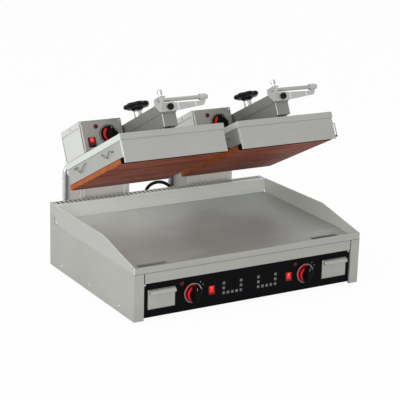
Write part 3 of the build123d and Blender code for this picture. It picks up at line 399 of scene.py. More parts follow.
grip_rod = (-0.1591, 0.6146, 0.0075)
lip_underside = 0.1561
skirt_front = 0.390
# x of the columns' outer left faces, which get a painted shade, and of ridges and corners that get painted
# highlights
column_left_sides = (-0.290, 0.110)
column_ridges = (-0.2885, -0.2760, -0.1225, 0.1115, 0.1240, 0.2775)
box_left_edges = (-0.3685, 0.0315)
beam_left_edges = (-0.2230, 0.1770)
head_turn = (open_tilt, 0, 0)
cabinet_grey = linear(178, 178, 173)
head_grey = linear(178, 179, 174)
dull_grey = linear(138, 138, 134)
painted_lit_side = linear(222, 226, 221)

steel = brushed_steel("satin_steel_cabinet", cabinet_grey)
# painted shadow line on the front under the lip's lower edge
steel_frame = brushed_steel("satin_steel_frame", cabinet_grey, shadow_heights=(lip_underside,))
# left-looking faces darker as painted shade, the outer left face darker still
steel_guard = brushed_steel(
    "satin_steel_guard",
    linear(246, 249, 244),
    metallic=0.3,
    edge=0.6,
    side=linear(202, 204, 199),
    shaded_sides=((-half_width,), linear(176, 177, 172)),
)
steel_vent = brushed_steel("satin_steel_vent", linear(184, 185, 180), edge=0.6)
# left-looking faces in front of the skirt lighter as painted light
steel_head = brushed_steel(
    "satin_steel_head", head_grey, turn=head_turn, side=painted_lit_side, side_from=skirt_front
)
# left-looking faces lighter as painted light
steel_rim = brushed_steel("steel_rim_painted_lit_side", head_grey, turn=head_turn, side=painted_lit_side)
# left walls lighter as painted light; painted highlights along the front's left corners
steel_box = brushed_steel(
    "box_cover_steel",
    linear(158, 156, 151),
    turn=head_turn,
    edge=0.8,
    side=linear(220, 222, 218),
    painted_highlights=box_left_edges,
)
# painted highlights along the front's left corners; strongly lightened edges, part wear and part painted highlight
steel_beam = brushed_steel(
    "dull_steel_beam",
    dull_grey,
    0.42,
    grain="Y",
    turn=head_turn,
    edge=1.0,
    painted_highlights=beam_left_edges,
    highlight_width=0.0016,
)
steel_arm = brushed_steel("dull_steel_arm", dull_grey, 0.42, grain="Y", turn=head_turn, edge=1.0)
# left-looking faces painted light, the outer left faces painted shade
steel_upright = brushed_steel(
    "satin_steel_column",
    linear(240, 236, 231),
    metallic=0.35,
    grain="Z",
    edge=0.9,
    side=linear(236, 238, 236),
    shaded_sides=(column_left_sides, linear(166, 160, 156)),
    painted_highlights=column_ridges,
)
steel_fork = brushed_steel("dull_steel_fork", linear(128, 128, 125), 0.45, grain="Z")
wire_metal = brushed_steel("drawn_clip_wire", linear(122, 122, 120), 0.3, 0.8, streak=0.02)
bright_metal = brushed_steel("polished_metal", linear(215, 217, 216), 0.2, 0.9, streak=0.02)
conduit_metal = brushed_steel("galvanised_conduit", linear(206, 212, 214), 0.25, 0.85, streak=0.02)
cast_metal = brushed_steel("machined_aluminium", linear(165, 165, 165))
element_tube = brushed_steel("heat_tinted_tube", linear(92, 84, 80), 0.5)
handle_plate = handle_steel()
knob_plastic = moulded("black_knob_plastic", linear(9, 9, 10), 0.3, depth=0.05, gloss=0.2)
dial_plastic = moulded("black_dial_plastic", linear(8, 8, 9), 0.5, gloss=0.08)
bezel_plastic = moulded("black_bezel_plastic", linear(11, 11, 12), 0.45, gloss=0.2)
scale_disc = moulded("black_scale_disc", linear(13, 13, 15), 0.5, gloss=0.15)
rubber = moulded("black_lead_rubber", linear(12, 12, 13), 0.55, grain=1400.0, gloss=0.2)
lamp_lens = red_lens("dark_red_pilot_lens", linear(74, 6, 20), 0.1, 0.25)
lit_red = linear(222, 34, 28)
# rockers glow above from the lamp; the lower half and edges are a painted shade
rocker_lens = red_lens(
    "lit_red_base_rocker",
    lit_red,
    0.4,
    lit_above=(0.060, 0.066),
    across=(-base_rocker_across, base_rocker_across),
)
head_rocker_lens = red_lens(
    "lit_red_head_rocker",
    lit_red,
    0.4,
    lit_above=(0.4532, 0.4556),
    across=tuple(head_centre[side] + head_rocker_across for side in sides),
    lower_half_shade=0.07,
)
# red print with a painted glow, no lamp behind it
red_print_painted_glow = red_lens("red_scale_print", linear(214, 26, 30), 0.15, 0.4)
silver_print = brushed_steel("silver_scale_print", linear(186, 188, 190), 0.5, 0.2)
pale_print = moulded("pale_rocker_bar", linear(236, 196, 190), 0.5)
slot_outline_finish = moulded("dark_slot_outline", linear(52, 50, 46), 0.6, gloss=0.2)
grey_print = brushed_steel("grey_square_print", linear(158, 159, 160), 0.5, 0.1)
cloth = release_cloth()
plate_face = griddle_surface()
black_front = panel_paint()

finish_names = (
    (steel, "left_side_panel right_side_panel rear_panel drawer"),
    (steel_frame, "front_frame"),
    (steel_guard, "splash_guard"),
    (steel_vent, "vent_strip"),
    (steel_fork, "bottom_pan hinge_brackets"),
    (steel_upright, "columns"),
    (steel_arm, "arm"),
    (steel_beam, "beam"),
    (steel_rim, "head_lid"),
    (steel_head, "head_housing"),
    (steel_box, "control_box"),
    (handle_plate, "handle"),
    (plate_face, "griddle_plate"),
    (black_front, "control_panel"),
    (cloth, "release_sheet"),
    (cast_metal, "platen"),
    (element_tube, "lower_elements"),
    (bright_metal, "panel_screws hinge_shafts latch_plunger"),
    (conduit_metal, "conduits"),
    (wire_metal, "wire_clips"),
    (rubber, "feet plug"),
    (knob_plastic, "cord_gland star_knob"),
    (dial_plastic, "dial_base dial_head"),
    (bezel_plastic, "lower_thermostats base_rocker_bezels head_fittings"),
    (scale_disc, "dial_rings"),
    (lamp_lens, "base_pilot_lamps head_pilot_lamp"),
    (rocker_lens, "rocker_base"),
    (head_rocker_lens, "rocker_head"),
)
finish_of = {name: finish for finish, names in finish_names for name in names.split()}

# A node's name may end in its side
for name, piece in nodes.items():
    key = name if name in finish_of else name.rsplit("_", 1)[0]
    if key in finish_of:
        piece.data.materials.clear()
        piece.data.materials.append(finish_of[key])


def keep(name, mesh, material, body):
    """A finished mesh becomes a piece that rides on its body."""
    piece = bpy.data.objects.new(name, mesh)
    bpy.context.scene.collection.objects.link(piece)
    if not mesh.materials:
        mesh.materials.append(material)
    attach(piece, body)
    return piece


def head_place(side):
    """From a head's own across, back and up to the griddle's frame."""
    pin = Matrix.Translation((head_centre[side], hinge.y, hinge.z)) @ Matrix.Rotation(-open_tilt, 4, "X")
    return pin @ Matrix.Translation((0, -head_behind_hinge, -head_below_hinge))


# Mains lead: one smooth line from the gland, over its arch, down and round the put-away coil
lead_width = 0.0115
lead_route = [
    (-0.002, 0.2584, 0.107),
    (-0.002, 0.2944, 0.107),
    (-0.002, 0.3204, 0.133),
    (-0.012, 0.3224, 0.172),
    (-0.002, 0.3184, 0.210),
    (0.034, 0.3044, 0.226),
    (0.070, 0.2904, 0.210),
    (0.080, 0.2854, 0.172),
    (0.082, 0.2804, 0.129),
    (0.078, 0.2784, 0.085),
    (0.074, 0.2804, 0.049),
    (0.074, 0.3064, 0.00995),
    (0.074, 0.3424, 0.00595),
    (0.074, 0.3584, 0.00595),
]
coil_middle = 0.3699
coil_low = 0.00595
coil_high = 0.01825
coil_turns = [
    (0.074, -0.066, coil_low, coil_low),
    (-0.066, 0.0612, coil_low, coil_low),
    (0.0612, -0.0532, coil_low, coil_low),
    (-0.0532, 0.0516, coil_low, coil_high),
    (0.0516, -0.0628, coil_high, coil_high),
    (-0.0628, 0.0644, coil_high, coil_high),
    (0.0644, -0.0756, coil_high, coil_high),
]
lead_end = (-0.0756, 0.3419, coil_high)


def half_turn(x0, x1, z0, z1, points=7):
    """Control points of half a turn of the coil, from one side to the other."""
    middle = (x0 + x1) / 2
    reach = (x0 - x1) / 2
    step = math.pi / points
    out = 1 / math.cos(step / 2)
    turn = []
    for index in range(points):
        angle = (index + 0.5) * step
        along = math.cos(angle) * out
        y = coil_middle + reach * math.sin(angle) * out
        turn.append((middle + reach * along, y, z0 + (z1 - z0) * (1 - along) / 2))
    return turn


def lead_curve(name, thickness):
    curve = bpy.data.curves.new(name, "CURVE")
    curve.dimensions = "3D"
    route = list(lead_route)
    for x0, x1, z0, z1 in coil_turns:
        route += half_turn(x0, x1, z0, z1)
    route.append(lead_end)
    spline = curve.splines.new("NURBS")
    spline.points.add(len(route) - 1)
    for point, place in zip(spline.points, route):
        point.co = (*place, 1)
    spline.order_u = 3
    spline.use_endpoint_u = True
    spline.resolution_u = 8
    curve.resolution_u = 8
    curve.bevel_depth = thickness
    curve.bevel_resolution = 5
    piece = bpy.data.objects.new(name, curve)
    bpy.context.scene.collection.objects.link(piece)
    return piece


def line_points(piece):
    """Points along a curve that has no thickness."""
    bpy.context.view_layer.update()
    settled = piece.evaluated_get(bpy.context.evaluated_depsgraph_get())
    mesh = bpy.data.meshes.new_from_object(settled)
    points = [v.co.copy() for v in mesh.vertices]
    bpy.data.meshes.remove(mesh)
    return points


def ring_skin(name, rings, closed_ends=True):
    """A mesh over equal rings of points, in order, with its ends capped."""
    count = len(rings[0])
    verts = [point for ring in rings for point in ring]
    faces = []
    for row in range(len(rings) - 1):
        for index in range(count):
            after = (index + 1) % count
            low, high = row * count, (row + 1) * count
            faces.append((low + index, low + after, high + after, high + index))
    if closed_ends:
        faces.append(tuple(reversed(range(count))))
        faces.append(tuple(range((len(rings) - 1) * count, len(rings) * count)))
    mesh = bpy.data.meshes.new(name)
    mesh.from_pydata(verts, [], faces)
    outward(mesh)
    return mesh


def outward(mesh, smooth_angle=35):
    body = bmesh.new()
    body.from_mesh(mesh)
    bmesh.ops.remove_doubles(body, verts=body.verts, dist=0.000001)
    bmesh.ops.recalc_face_normals(body, faces=body.faces)
    limit = math.radians(smooth_angle)
    for face in body.faces:
        face.smooth = True
    for edge in body.edges:
        if len(edge.link_faces) == 2 and edge.calc_face_angle(0) > limit:
            edge.smooth = False
    body.to_mesh(mesh)
    body.free()
    mesh.update()


def make_lead():
    lead = lead_curve("mains_lead", lead_width / 2)
    lead.data.materials.append(rubber)
    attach(lead, "cabinet")
    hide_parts("power_cord", "cord_coil")
    make_strain_relief()


def make_strain_relief(length=0.04, wide=0.0096, narrow=0.0065, groove=0.0007, grooves=7, steps=8, points=24):
    """Ribbed taper that keeps the lead from kinking at the gland."""
    bare = lead_curve("lead_line", 0)
    line = line_points(bare)
    bpy.data.objects.remove(bare)
    angles = [2 * math.pi * k / points for k in range(points)]
    walked = 0.0
    rings = []
    for before, here in zip(line, line[1:]):
        ahead = (here - before).normalized()
        side = ahead.cross(Vector((0, 0, 1))).normalized()
        up = side.cross(ahead)
        stretch = (here - before).length
        for part in range(steps):
            share = (walked + stretch * part / steps) / length
            if share > 1:
                break
            in_groove = math.cos(share * math.pi * 2 * grooves) < -0.2
            radius = wide - (wide - narrow) * share - groove * in_groove
            centre = before.lerp(here, part / steps)
            rings.append([centre + (side * math.cos(t) + up * math.sin(t)) * radius for t in angles])
        walked += stretch
    # the wide end starts inside the gland
    rings[0] = [point - Vector((0, 0.0025, 0)) for point in rings[0]]
    keep("lead_strain_relief", ring_skin("lead_strain_relief", rings), rubber, "cabinet")


# Repeats, made by Geometry Nodes and then turned into plain meshes
class Repeat:
    """A node tree with named sizes that ends in Realize Instances and Set Material."""

    kinds = {int: "NodeSocketInt", float: "NodeSocketFloat", tuple: "NodeSocketVector"}

    def __init__(self, name, sizes):
        self.tree = bpy.data.node_groups.new(name, "GeometryNodeTree")
        face = self.tree.interface
        face.new_socket("Geometry", in_out="INPUT", socket_type="NodeSocketGeometry")
        self.inputs = {}
        for label, value in sizes.items():
            made = face.new_socket(label, in_out="INPUT", socket_type=self.kinds[type(value)])
            self.inputs[label] = (made.identifier, value)
        face.new_socket("Geometry", in_out="OUTPUT", socket_type="NodeSocketGeometry")
        self.start = self.tree.nodes.new("NodeGroupInput")
        self.end = self.tree.nodes.new("NodeGroupOutput")

    def node(self, kind, feeds=(), **settings):
        made = self.tree.nodes.new(kind)
        for key, value in settings.items():
            setattr(made, key, value)
        for socket, source in feeds:
            if isinstance(source, (int, float, tuple, bool)):
                made.inputs[socket].default_value = source
            else:
                self.tree.links.new(source, made.inputs[socket])
        return made

    def size(self, label):
        return self.start.outputs[label]

    def tube(self, line, radius):
        """A thin six-sided tube along a line."""
        profile = self.node("GeometryNodeCurvePrimitiveCircle", [("Resolution", 6), ("Radius", radius)])
        feeds = [("Curve", line), ("Profile Curve", profile.outputs[0])]
        return self.node("GeometryNodeCurveToMesh", feeds).outputs[0]

    def place(self, points, shape, material, turn=None):
        """The shape on every point, made real and given its material."""
        feeds = [("Points", points), ("Instance", shape)]
        if turn is not None:
            feeds.append(("Rotation", turn))
        placed = self.node("GeometryNodeInstanceOnPoints", feeds)
        real = self.node("GeometryNodeRealizeInstances", [("Geometry", placed.outputs[0])])
        painted = self.node("GeometryNodeSetMaterial", [("Geometry", real.outputs[0])])
        painted.inputs["Material"].default_value = material
        self.tree.links.new(painted.outputs[0], self.end.inputs[0])

    def grow(self, name, base_mesh, **values):
        """The finished mesh on the given base, with the sizes in values."""
        host = bpy.data.objects.new(name, base_mesh)
        bpy.context.scene.collection.objects.link(host)
        grown = host.modifiers.new(name, "NODES")
        grown.node_group = self.tree
        for label, (identifier, value) in self.inputs.items():
            grown[identifier] = values.get(label.lower().replace(" ", "_"), value)
        settled = host.evaluated_get(bpy.context.evaluated_depsgraph_get())
        mesh = bpy.data.meshes.new_from_object(settled)
        host.modifiers.remove(grown)
        bpy.data.objects.remove(host)
        mesh.name = name
        return mesh


def spots(name, places):
    mesh = bpy.data.meshes.new(name)
    mesh.from_pydata(places, [], [])
    return mesh


def rivet_tree(material):
    """Domed heads, all facing one way."""
    sizes = {"Head Radius": 0.0032, "Head Rise": 0.0016, "Facing": (0.0, -1.0, 0.0)}
    tree = Repeat("domed_rivets", sizes)
    dome = tree.node("GeometryNodeMeshUVSphere", [("Segments", 16), ("Rings", 8), ("Radius", 1.0)])
    radius = tree.size("Head Radius")
    shape = tree.node("ShaderNodeCombineXYZ", [(0, radius), (1, radius), (2, tree.size("Head Rise"))])
    sized = tree.node("GeometryNodeTransform", [("Geometry", dome.outputs[0]), ("Scale", shape.outputs[0])])
    smooth = tree.node("GeometryNodeSetShadeSmooth", [("Geometry", sized.outputs[0])])
    turn = tree.node("FunctionNodeAlignRotationToVector", [("Vector", tree.size("Facing"))], axis="Z")
    tree.place(tree.start.outputs[0], smooth.outputs[0], material, turn.outputs[0])
    return tree


def mark_tree(material):
    """Small printed squares with a filled middle, standing a hair proud of the front."""
    tree = Repeat("printed_squares", {"Mark Size": 0.0070, "Line Width": 0.0008, "Middle Size": 0.0030})
    mark, middle = tree.size("Mark Size"), tree.size("Middle Size")
    outline = tree.node("GeometryNodeCurvePrimitiveQuadrilateral", [("Width", mark), ("Height", mark)])
    frame_wire = tree.tube(outline.outputs[0], tree.size("Line Width"))
    edge = tree.node("ShaderNodeCombineXYZ", [(0, middle), (1, middle), (2, 0.0008)])
    filled = tree.node("GeometryNodeMeshCube", [("Size", edge.outputs[0])])
    joined = tree.node("GeometryNodeJoinGeometry")
    tree.tree.links.new(frame_wire, joined.inputs[0])
    tree.tree.links.new(filled.outputs[0], joined.inputs[0])
    upright = tree.node(
        "GeometryNodeTransform",
        [("Geometry", joined.outputs[0]), ("Rotation", (math.pi / 2, 0.0, 0.0)), ("Scale", (1.0, 1.0, 0.5))],
    )
    tree.place(tree.start.outputs[0], upright.outputs[0], material)
    return tree


def tick_tree(material):
    """Ticks round part of a dial, in the plane of its face."""
    sizes = {
        "Ticks": 23,
        "Ring Radius": 0.0302,
        "Sweep Start": math.radians(15),
        "Sweep": math.radians(249),
        "Tick Size": (0.0024, 0.0007, 0.0004),
    }
    tree = Repeat("dial_ticks", sizes)

    def reckon(operation, *values):
        return tree.node("ShaderNodeMath", list(enumerate(values)), operation=operation).outputs[0]

    row = tree.node("GeometryNodeMeshLine", [("Count", tree.size("Ticks"))])
    order = tree.node("GeometryNodeInputIndex")
    share = reckon("DIVIDE", order.outputs[0], reckon("SUBTRACT", tree.size("Ticks"), 1.0))
    angle = reckon("MULTIPLY_ADD", share, tree.size("Sweep"), tree.size("Sweep Start"))
    x, y = (reckon("MULTIPLY", reckon(wave, angle), tree.size("Ring Radius")) for wave in ("COSINE", "SINE"))
    place = tree.node("ShaderNodeCombineXYZ", [(0, x), (1, y)])
    ring = tree.node("GeometryNodeSetPosition", [("Geometry", row.outputs[0]), ("Position", place.outputs[0])])
    tick = tree.node("GeometryNodeMeshCube", [("Size", tree.size("Tick Size"))])
    turn = tree.node("ShaderNodeCombineXYZ", [(2, angle)])
    tree.place(ring.outputs[0], tick.outputs[0], material, turn.outputs[0])
    return tree


def rib_tree(material):
    """Close rings along a line, as on a wound metal conduit."""
    tree = Repeat("conduit_ribs", {"Tube Radius": conduit_radius, "Rib Radius": 0.0008, "Rib Pitch": 0.0033})
    line = tree.node("GeometryNodeMeshToCurve", [("Mesh", tree.start.outputs[0])])
    feeds = [("Curve", line.outputs[0]), ("Length", tree.size("Rib Pitch"))]
    stops = tree.node("GeometryNodeCurveToPoints", feeds, mode="LENGTH")
    feeds = [("Resolution", 20), ("Radius", tree.size("Tube Radius"))]
    round_line = tree.node("GeometryNodeCurvePrimitiveCircle", feeds)
    ring = tree.tube(round_line.outputs[0], tree.size("Rib Radius"))
    smooth = tree.node("GeometryNodeSetShadeSmooth", [("Geometry", ring)])
    tree.place(stops.outputs["Points"], smooth.outputs[0], material, stops.outputs["Rotation"])
    return tree


def arc_band(name, inner, outer, start, sweep, front, back, steps=48):
    """A flat printed arc in the across-up plane. inner and outer take the share of the sweep."""
    rings = []
    for step in range(steps + 1):
        share = step / steps
        angle = start + sweep * share
        a, b = inner(share), outer(share)
        across, up = math.cos(angle), math.sin(angle)
        corners = ((a, front), (b, front), (b, back), (a, back))
        rings.append([Vector((radius * across, y, radius * up)) for radius, y in corners])
    return ring_skin(name, rings)


def dress_dial(name, place, ring_body, knob_body, ticks, wide=False):
    """Scale ring, ticks and pale arc on the disc, red crescent and pointer on the knob.

    wide adds the crescent that shows on the disc itself.
    """
    disc, skirt, tip = -0.0015, -0.0078, -0.0258

    def swell(share, thick, thin):
        return thin + (thick - thin) * math.sin(math.pi * min(1.0, share * 0.9 + 0.18)) ** 0.6

    def band(label, inner, outer, start, sweep, face, proud, steps=48):
        turn = math.radians(start), math.radians(sweep)
        return arc_band(name + label, inner, outer, *turn, face - proud, face + 0.0004, steps)

    grown = ticks.grow(name + "_ticks", spots(name, [(0, 0, 0)]))
    grown.transform(Matrix.Rotation(math.pi / 2, 4, "X") @ Matrix.Translation((0, 0, -disc)))
    ring = band("_scale_ring", lambda share: 0.0289, lambda share: 0.0299, 15, 249, disc, 0.0003)
    arc = band("_pale_arc", lambda share: 0.0266 + 0.001 * share, lambda share: 0.0280, 22, 30, disc, 0.0003, 12)
    skirt_red = band(
        "_skirt_crescent",
        lambda share: 0.0224 - swell(share, 0.0078, 0.0014),
        lambda share: 0.0224,
        70,
        186,
        skirt,
        0.0002,
    )
    pointer = band("_pointer", lambda share: 0.0125, lambda share: 0.0215, 88.6, 2.8, tip, 0.0002, 2)
    pieces = [
        (ring, silver_print, ring_body, "scale_grey"),
        (grown, silver_print, ring_body, "scale_grey"),
        (arc, silver_print, ring_body, "scale_grey"),
        (skirt_red, red_print_painted_glow, knob_body, "lamp_red"),
        (pointer, silver_print, knob_body, "scale_grey"),
    ]
    if wide:
        disc_red = band(
            "_disc_crescent",
            lambda share: 0.0243,
            lambda share: 0.0249 + swell(share, 0.0029, 0.0008),
            72,
            182,
            disc,
            0.00025,
        )
        pieces.insert(0, (disc_red, red_print_painted_glow, ring_body, "lamp_red"))
    for mesh, finish, body, slot in pieces:
        mesh.transform(place)
        keep(mesh.name, mesh, finish, body)


def turned(name, profile, steps=40):
    """A shape turned about its own upright axis from radius and height pairs."""
    angles = [2 * math.pi * k / steps for k in range(steps)]
    rings = [[Vector((radius * math.cos(t), radius * math.sin(t), up)) for t in angles] for radius, up in profile]
    return ring_skin(name, rings)


def star_shell(name, lobes=7, steps=112):
    """Full rounded lobes over the knob's core, drawn in to its hub below and dished on top."""
    profile = [
        (0.0155, -0.0002, 0.0),
        (0.0178, 0.0012, 0.0),
        (0.0196, 0.0052, 0.1),
        (0.0290, 0.0066, 0.6),
        (0.0365, 0.0088, 1.0),
        (0.0392, 0.0130, 1.0),
        (0.0386, 0.0176, 1.0),
        (0.0350, 0.0212, 1.0),
        (0.0280, 0.0222, 0.7),
        (0.0190, 0.0216, 0.3),
        (0.0120, 0.0238, 0.0),
        (0.0040, 0.0246, 0.0),
        (0.0002, 0.0247, 0.0),
    ]
    rings = []
    for radius, up, wave in profile:
        ring = []
        for step in range(steps):
            angle = 2 * math.pi * step / steps
            bulge = 0.0026 * wave * (math.cos(lobes * angle) - 0.15 * math.cos(2 * lobes * angle))
            ring.append(Vector(((radius + bulge) * math.cos(angle), (radius + bulge) * math.sin(angle), up)))
        rings.append(ring)
    mesh = ring_skin(name, rings)
    outward(mesh, 70)
    return mesh


def drain_edge(name, centre):
    """Thin dark line round a drain slot, lying on the gutter."""
    half_long, half_wide = 0.046, 0.017
    back = front_plane + 0.055
    low, high = 0.1569, 0.1573
    near, far = 0.0002, 0.0018
    rings = []
    for grow, up in ((near, low), (near, high), (far, high), (far, low)):
        a, b = half_long + grow, half_wide + grow
        rings.append([Vector((centre + i * a, back + j * b, up)) for i, j in ((-1, -1), (1, -1), (1, 1), (-1, 1))])
    return ring_skin(name, rings + [rings[0]], closed_ends=False)


def dress_panel(marks, rivets):
    for side, centre in (("left", -0.308), ("right", 0.308)):
        keep("drain_edge_" + side, drain_edge("drain_edge_" + side, centre), slot_outline_finish, "cabinet")
    proud = panel_face - 0.0002
    low_row, middle_row, top_row = 0.0524, 0.0680, 0.0835
    places = []
    for first, pitch in ((-0.0942, 0.0152), (0.0288, 0.0154)):
        places += [(first + pitch * k, proud, low_row) for k in range(5)]
        for end in (first, first + 4 * pitch):
            places += [(end, proud, middle_row), (end, proud, top_row)]
    squares = marks.grow("panel_squares", spots("panel_squares", places))
    keep("panel_squares", squares, grey_print, "cabinet")
    # two dots by each scale where its travel ends
    dots = [
        (middle + across, proud, dial_height + up)
        for middle in (-base_dial_across, base_dial_across)
        for across, up in ((0.0245, 0.0305), (0.0335, 0.0215))
    ]
    small = rivets.grow("scale_dots", spots("scale_dots", dots), head_radius=0.0014, head_rise=0.0006)
    small.materials[0] = silver_print
    keep("scale_dots", small, silver_print, "cabinet")


def rocker_bar(name, place, body):
    """Short pale bar on the lit half of a rocker."""
    (y0, z0), (y1, z1) = (-0.00195, 0.0035), (-0.00255, 0.0105)
    half = 0.0006
    corners = ((-half, y0, z0), (half, y0, z0), (half, y1, z1), (-half, y1, z1))
    rings = [[Vector((x, y - lift, z)) for x, y, z in corners] for lift in (0.0004, -0.0003)]
    bar = ring_skin(name, rings)
    bar.transform(place)
    keep(name, bar, pale_print, body)


def keep_turned(name, profile, place, material, body, steps=40):
    shape = turned(name, profile, steps)
    shape.transform(place)
    keep(name, shape, material, body)


def dress_head(side, rivets):
    place = head_place(side)
    # black socket screw over the stop bolt
    screw = [(0.0096, 0.0), (0.0099, 0.0006), (0.0099, 0.0066), (0.0086, 0.0088)]
    screw += [(0.0058, 0.0096), (0.0044, 0.0096), (0.0042, 0.0074), (0.0008, 0.0073)]
    at = place @ Matrix.Translation((0.005, -0.4043, arm_top - 0.0145)) @ Matrix.Rotation(math.pi / 2, 4, "X")
    keep_turned("stop_screw_" + side, screw, at, knob_plastic, "arm_" + side)
    shell = star_shell("star_knob_cover_" + side)
    shell.transform(place @ Matrix.Translation((0, adjuster_back, knob_base)))
    keep("star_knob_cover_" + side, shell, knob_plastic, "adjuster_" + side)
    # bright collar round the adjuster's sleeve, seated on the arm
    collar = [(0.0126, 0.0003), (0.0152, 0.0003), (0.0152, 0.0040), (0.0137, 0.0052)]
    collar += [(0.0131, 0.0120), (0.0131, 0.0262), (0.0127, 0.0270), (0.0126, 0.0270)]
    at = place @ Matrix.Translation((0, adjuster_back, arm_top))
    keep_turned("adjuster_collar_" + side, collar + [collar[0]], at, bright_metal, "arm_" + side)
    # black sleeve on the free end of the wire loop
    tip = [(0.0014, 0.0), (0.0026, 0.0004), (0.0028, 0.0014), (0.0028, 0.0082), (0.0024, 0.0094), (0.0014, 0.0096)]
    at = place @ Matrix.Translation((0.1752, -0.392, 0.008)) @ Matrix.Rotation(math.pi / 2, 4, "Y")
    keep_turned("loop_sleeve_" + side, tip + [tip[0]], at, knob_plastic, "head_" + side, 20)
    corners = [(across, -box_front - 0.0002, up) for up in (0.180, 0.093) for across in (-0.170, -0.036)]
    front = (place.to_3x3() @ Vector((0, -1, 0))).normalized()
    name = "box_rivets_" + side
    studs = rivets.grow(name, spots("box", [place @ Vector(c) for c in corners]), facing=tuple(front))
    keep(name, studs, bright_metal, "head_" + side)


def keep_screws(name, rivets, places, facing):
    studs = rivets.grow(name, spots(name, places), head_radius=0.004, head_rise=0.0018, facing=facing)
    keep(name, studs, bright_metal, "cabinet")


def dress_back(rivets):
    rear = 0.2384
    places = [(x, rear, z) for x in (-0.38, -0.23, 0.23, 0.38) for z in (0.035, 0.135)]
    keep_screws("rear_screws", rivets, places, (0.0, 1.0, 0.0))
    for side, way in (("left", -1.0), ("right", 1.0)):
        places = [(way * half_width, y, 0.032) for y in (-0.25, -0.05, 0.15)]
        keep_screws("side_screws_" + side, rivets, places, (way, 0.0, 0.0))


def conduit_line(x, fork):
    """The middle of a conduit: out of the cabinet, up and over to its fork."""
    low, high = 0.082, 0.312
    bend, top_bend = 0.052, 0.038
    start, nut = 0.247, 0.019
    back = hinge.y
    toward = math.copysign(1, fork - x)
    quarter = [math.pi / 2 * k / 10 for k in range(11)]
    line = [(x, start, low)]
    line += [(x, back - bend + bend * math.sin(t), low + bend - bend * math.cos(t)) for t in quarter]
    for t in quarter:
        across = top_bend - top_bend * math.cos(t)
        line.append((x + toward * across, back, high - top_bend + top_bend * math.sin(t)))
    return line + [(fork - toward * nut, back, high)]


def dress_conduits(ribs):
    for side in sides:
        centre = head_centre[side]
        x = centre - column_half_width - conduit_radius - seat_gap
        line = conduit_line(x, centre - conduit_reach)
        name = "conduit_wrap_" + side
        mesh = bpy.data.meshes.new("conduit_line_" + side)
        mesh.from_pydata(line, [(i, i + 1) for i in range(len(line) - 1)], [])
        keep(name, ribs.grow(name, mesh), conduit_metal, "cabinet")


# Camera fitted to the photograph's view
def add_camera():
    yaw, pitch, roll = (math.radians(a) for a in (30.79, 15.97, -1.58))
    ahead = Vector((math.sin(yaw) * math.cos(pitch), math.cos(yaw) * math.cos(pitch), -math.sin(pitch)))
    across = Vector((math.cos(yaw), -math.sin(yaw), 0))
    down = ahead.cross(across)
    right = across * math.cos(roll) + down * math.sin(roll)
    below = down * math.cos(roll) - across * math.sin(roll)
    data = bpy.data.cameras.new("view_of_the_griddle")
    data.sensor_width = 36
    data.lens = 36 * 1309.5 / 400
    data.clip_end = 50
    camera = bpy.data.objects.new("view_of_the_griddle", data)
    turn = Matrix((right, -below, -ahead)).transposed().to_4x4()
    camera.matrix_world = Matrix.Translation((-2.052, -3.1257 + front_plane, 1.3842 + feet_height)) @ turn
    bpy.context.scene.collection.objects.link(camera)
    bpy.context.scene.camera = camera


def soft_lamp(name, place, aim, size, power):
    data = bpy.data.lights.new(name, "AREA")
    data.shape = "RECTANGLE"
    data.size, data.size_y = size
    data.energy = power
    lamp = bpy.data.objects.new(name, data)
    lamp.location = place
    lamp.rotation_euler = (Vector(aim) - Vector(place)).to_track_quat("-Z", "Y").to_euler()
    bpy.context.scene.collection.objects.link(lamp)


def white_when_seen(tree):
    """Light paths that see plain white: straight from the camera or through glass, and by reflection."""
    path = tree.nodes.new("ShaderNodeLightPath")
    top = tree.nodes.new("ShaderNodeMath")
    top.operation = "MAXIMUM"
    tree.links.new(path.outputs["Is Camera Ray"], top.inputs[0])
    tree.links.new(path.outputs["Is Transmission Ray"], top.inputs[1])
    return top.outputs[0], path.outputs["Is Glossy Ray"]


def blend_shaders(tree, factor, first, second):
    node = tree.nodes.new("ShaderNodeMixShader")
    for socket, source in zip(node.inputs, (factor, first, second)):
        tree.links.new(source, socket)
    return node.outputs[0]


def white_sky(tree, strength):
    node = tree.nodes.new("ShaderNodeBackground")
    node.inputs["Color"].default_value = (1, 1, 1, 1)
    node.inputs["Strength"].default_value = strength
    return node.outputs[0]


def add_sky(lighting=0.72, mirrored=0.75, seen=1.0):
    world = bpy.data.worlds.new("studio")
    bpy.context.scene.world = world
    world.use_nodes = True
    tree = world.node_tree
    tree.nodes.clear()
    camera_ray, glossy_ray = white_when_seen(tree)
    room = blend_shaders(tree, glossy_ray, white_sky(tree, lighting), white_sky(tree, mirrored))
    out = tree.nodes.new("ShaderNodeOutputWorld")
    tree.links.new(blend_shaders(tree, camera_ray, room, white_sky(tree, seen)), out.inputs["Surface"])


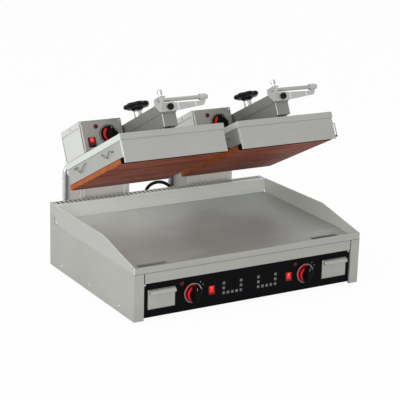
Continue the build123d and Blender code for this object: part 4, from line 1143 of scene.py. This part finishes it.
def add_floor(reach=14.0, paleness=0.96):
    """A matt floor that the camera sees as nearly white, apart from the soft shadow."""
    mesh = bpy.data.meshes.new("pale_floor")
    corners = [(-reach, -reach, 0), (reach, -reach, 0), (reach, reach, 0), (-reach, reach, 0)]
    mesh.from_pydata(corners, [], [(0, 1, 2, 3)])
    floor = bpy.data.objects.new("pale_floor", mesh)
    bpy.context.scene.collection.objects.link(floor)
    material = bpy.data.materials.new("pale_floor")
    material.use_nodes = True
    tree = material.node_tree
    tree.nodes.clear()
    matt = tree.nodes.new("ShaderNodeBsdfDiffuse")
    matt.inputs["Color"].default_value = (0.8, 0.8, 0.8, 1)
    glow = tree.nodes.new("ShaderNodeEmission")
    glow.inputs["Color"].default_value = (1, 1, 1, 1)
    camera_ray = white_when_seen(tree)[0]
    part = tree.nodes.new("ShaderNodeMath")
    part.operation = "MULTIPLY"
    part.inputs[1].default_value = paleness
    tree.links.new(camera_ray, part.inputs[0])
    out = tree.nodes.new("ShaderNodeOutputMaterial")
    surface = blend_shaders(tree, part.outputs[0], matt.outputs[0], glow.outputs[0])
    tree.links.new(surface, out.inputs["Surface"])
    mesh.materials.append(material)


def add_lamps():
    middle = (0, 0, 0.25)
    soft_lamp("key_from_the_left", (-3.6, -0.9, 1.5), middle, (2.4, 2.0), 62)
    soft_lamp("fill_from_the_front", (-1.2, -3.3, 1.2), middle, (2.4, 2.0), 18)
    soft_lamp("top_light", (-0.3, 0.3, 3.2), middle, (2.6, 2.6), 16)


add_camera()
add_sky()
add_floor()
add_lamps()
bpy.context.scene.view_settings.view_transform = "Standard"

make_lead()
rivets = rivet_tree(bright_metal)
marks = mark_tree(grey_print)
ticks = tick_tree(silver_print)
ribs = rib_tree(conduit_metal)
dress_panel(marks, rivets)
dress_back(rivets)
dress_conduits(ribs)
for side in sides:
    centre = head_centre[side]
    on_head = head_place(side)
    dial_place = Matrix.Translation((math.copysign(base_dial_across, centre), panel_face, dial_height))
    dress_dial("base_" + side, dial_place, "cabinet", "base_dial_" + side, ticks, wide=True)
    dial_place = on_head @ Matrix.Translation((-0.080, -box_front, 0.138))
    dress_dial("head_dial_" + side, dial_place, "head_" + side, "head_dial_" + side, ticks)
    dress_head(side, rivets)
    rocker_place = Matrix.Translation((math.copysign(base_rocker_across, centre), panel_face, 0.068))
    rocker_bar("base_rocker_bar_" + side, rocker_place, "base_rocker_" + side)
    rocker_place = on_head @ Matrix.Translation((head_rocker_across, -box_front, 0.1185))
    rocker_bar("head_rocker_bar_" + side, rocker_place, "head_rocker_" + side)
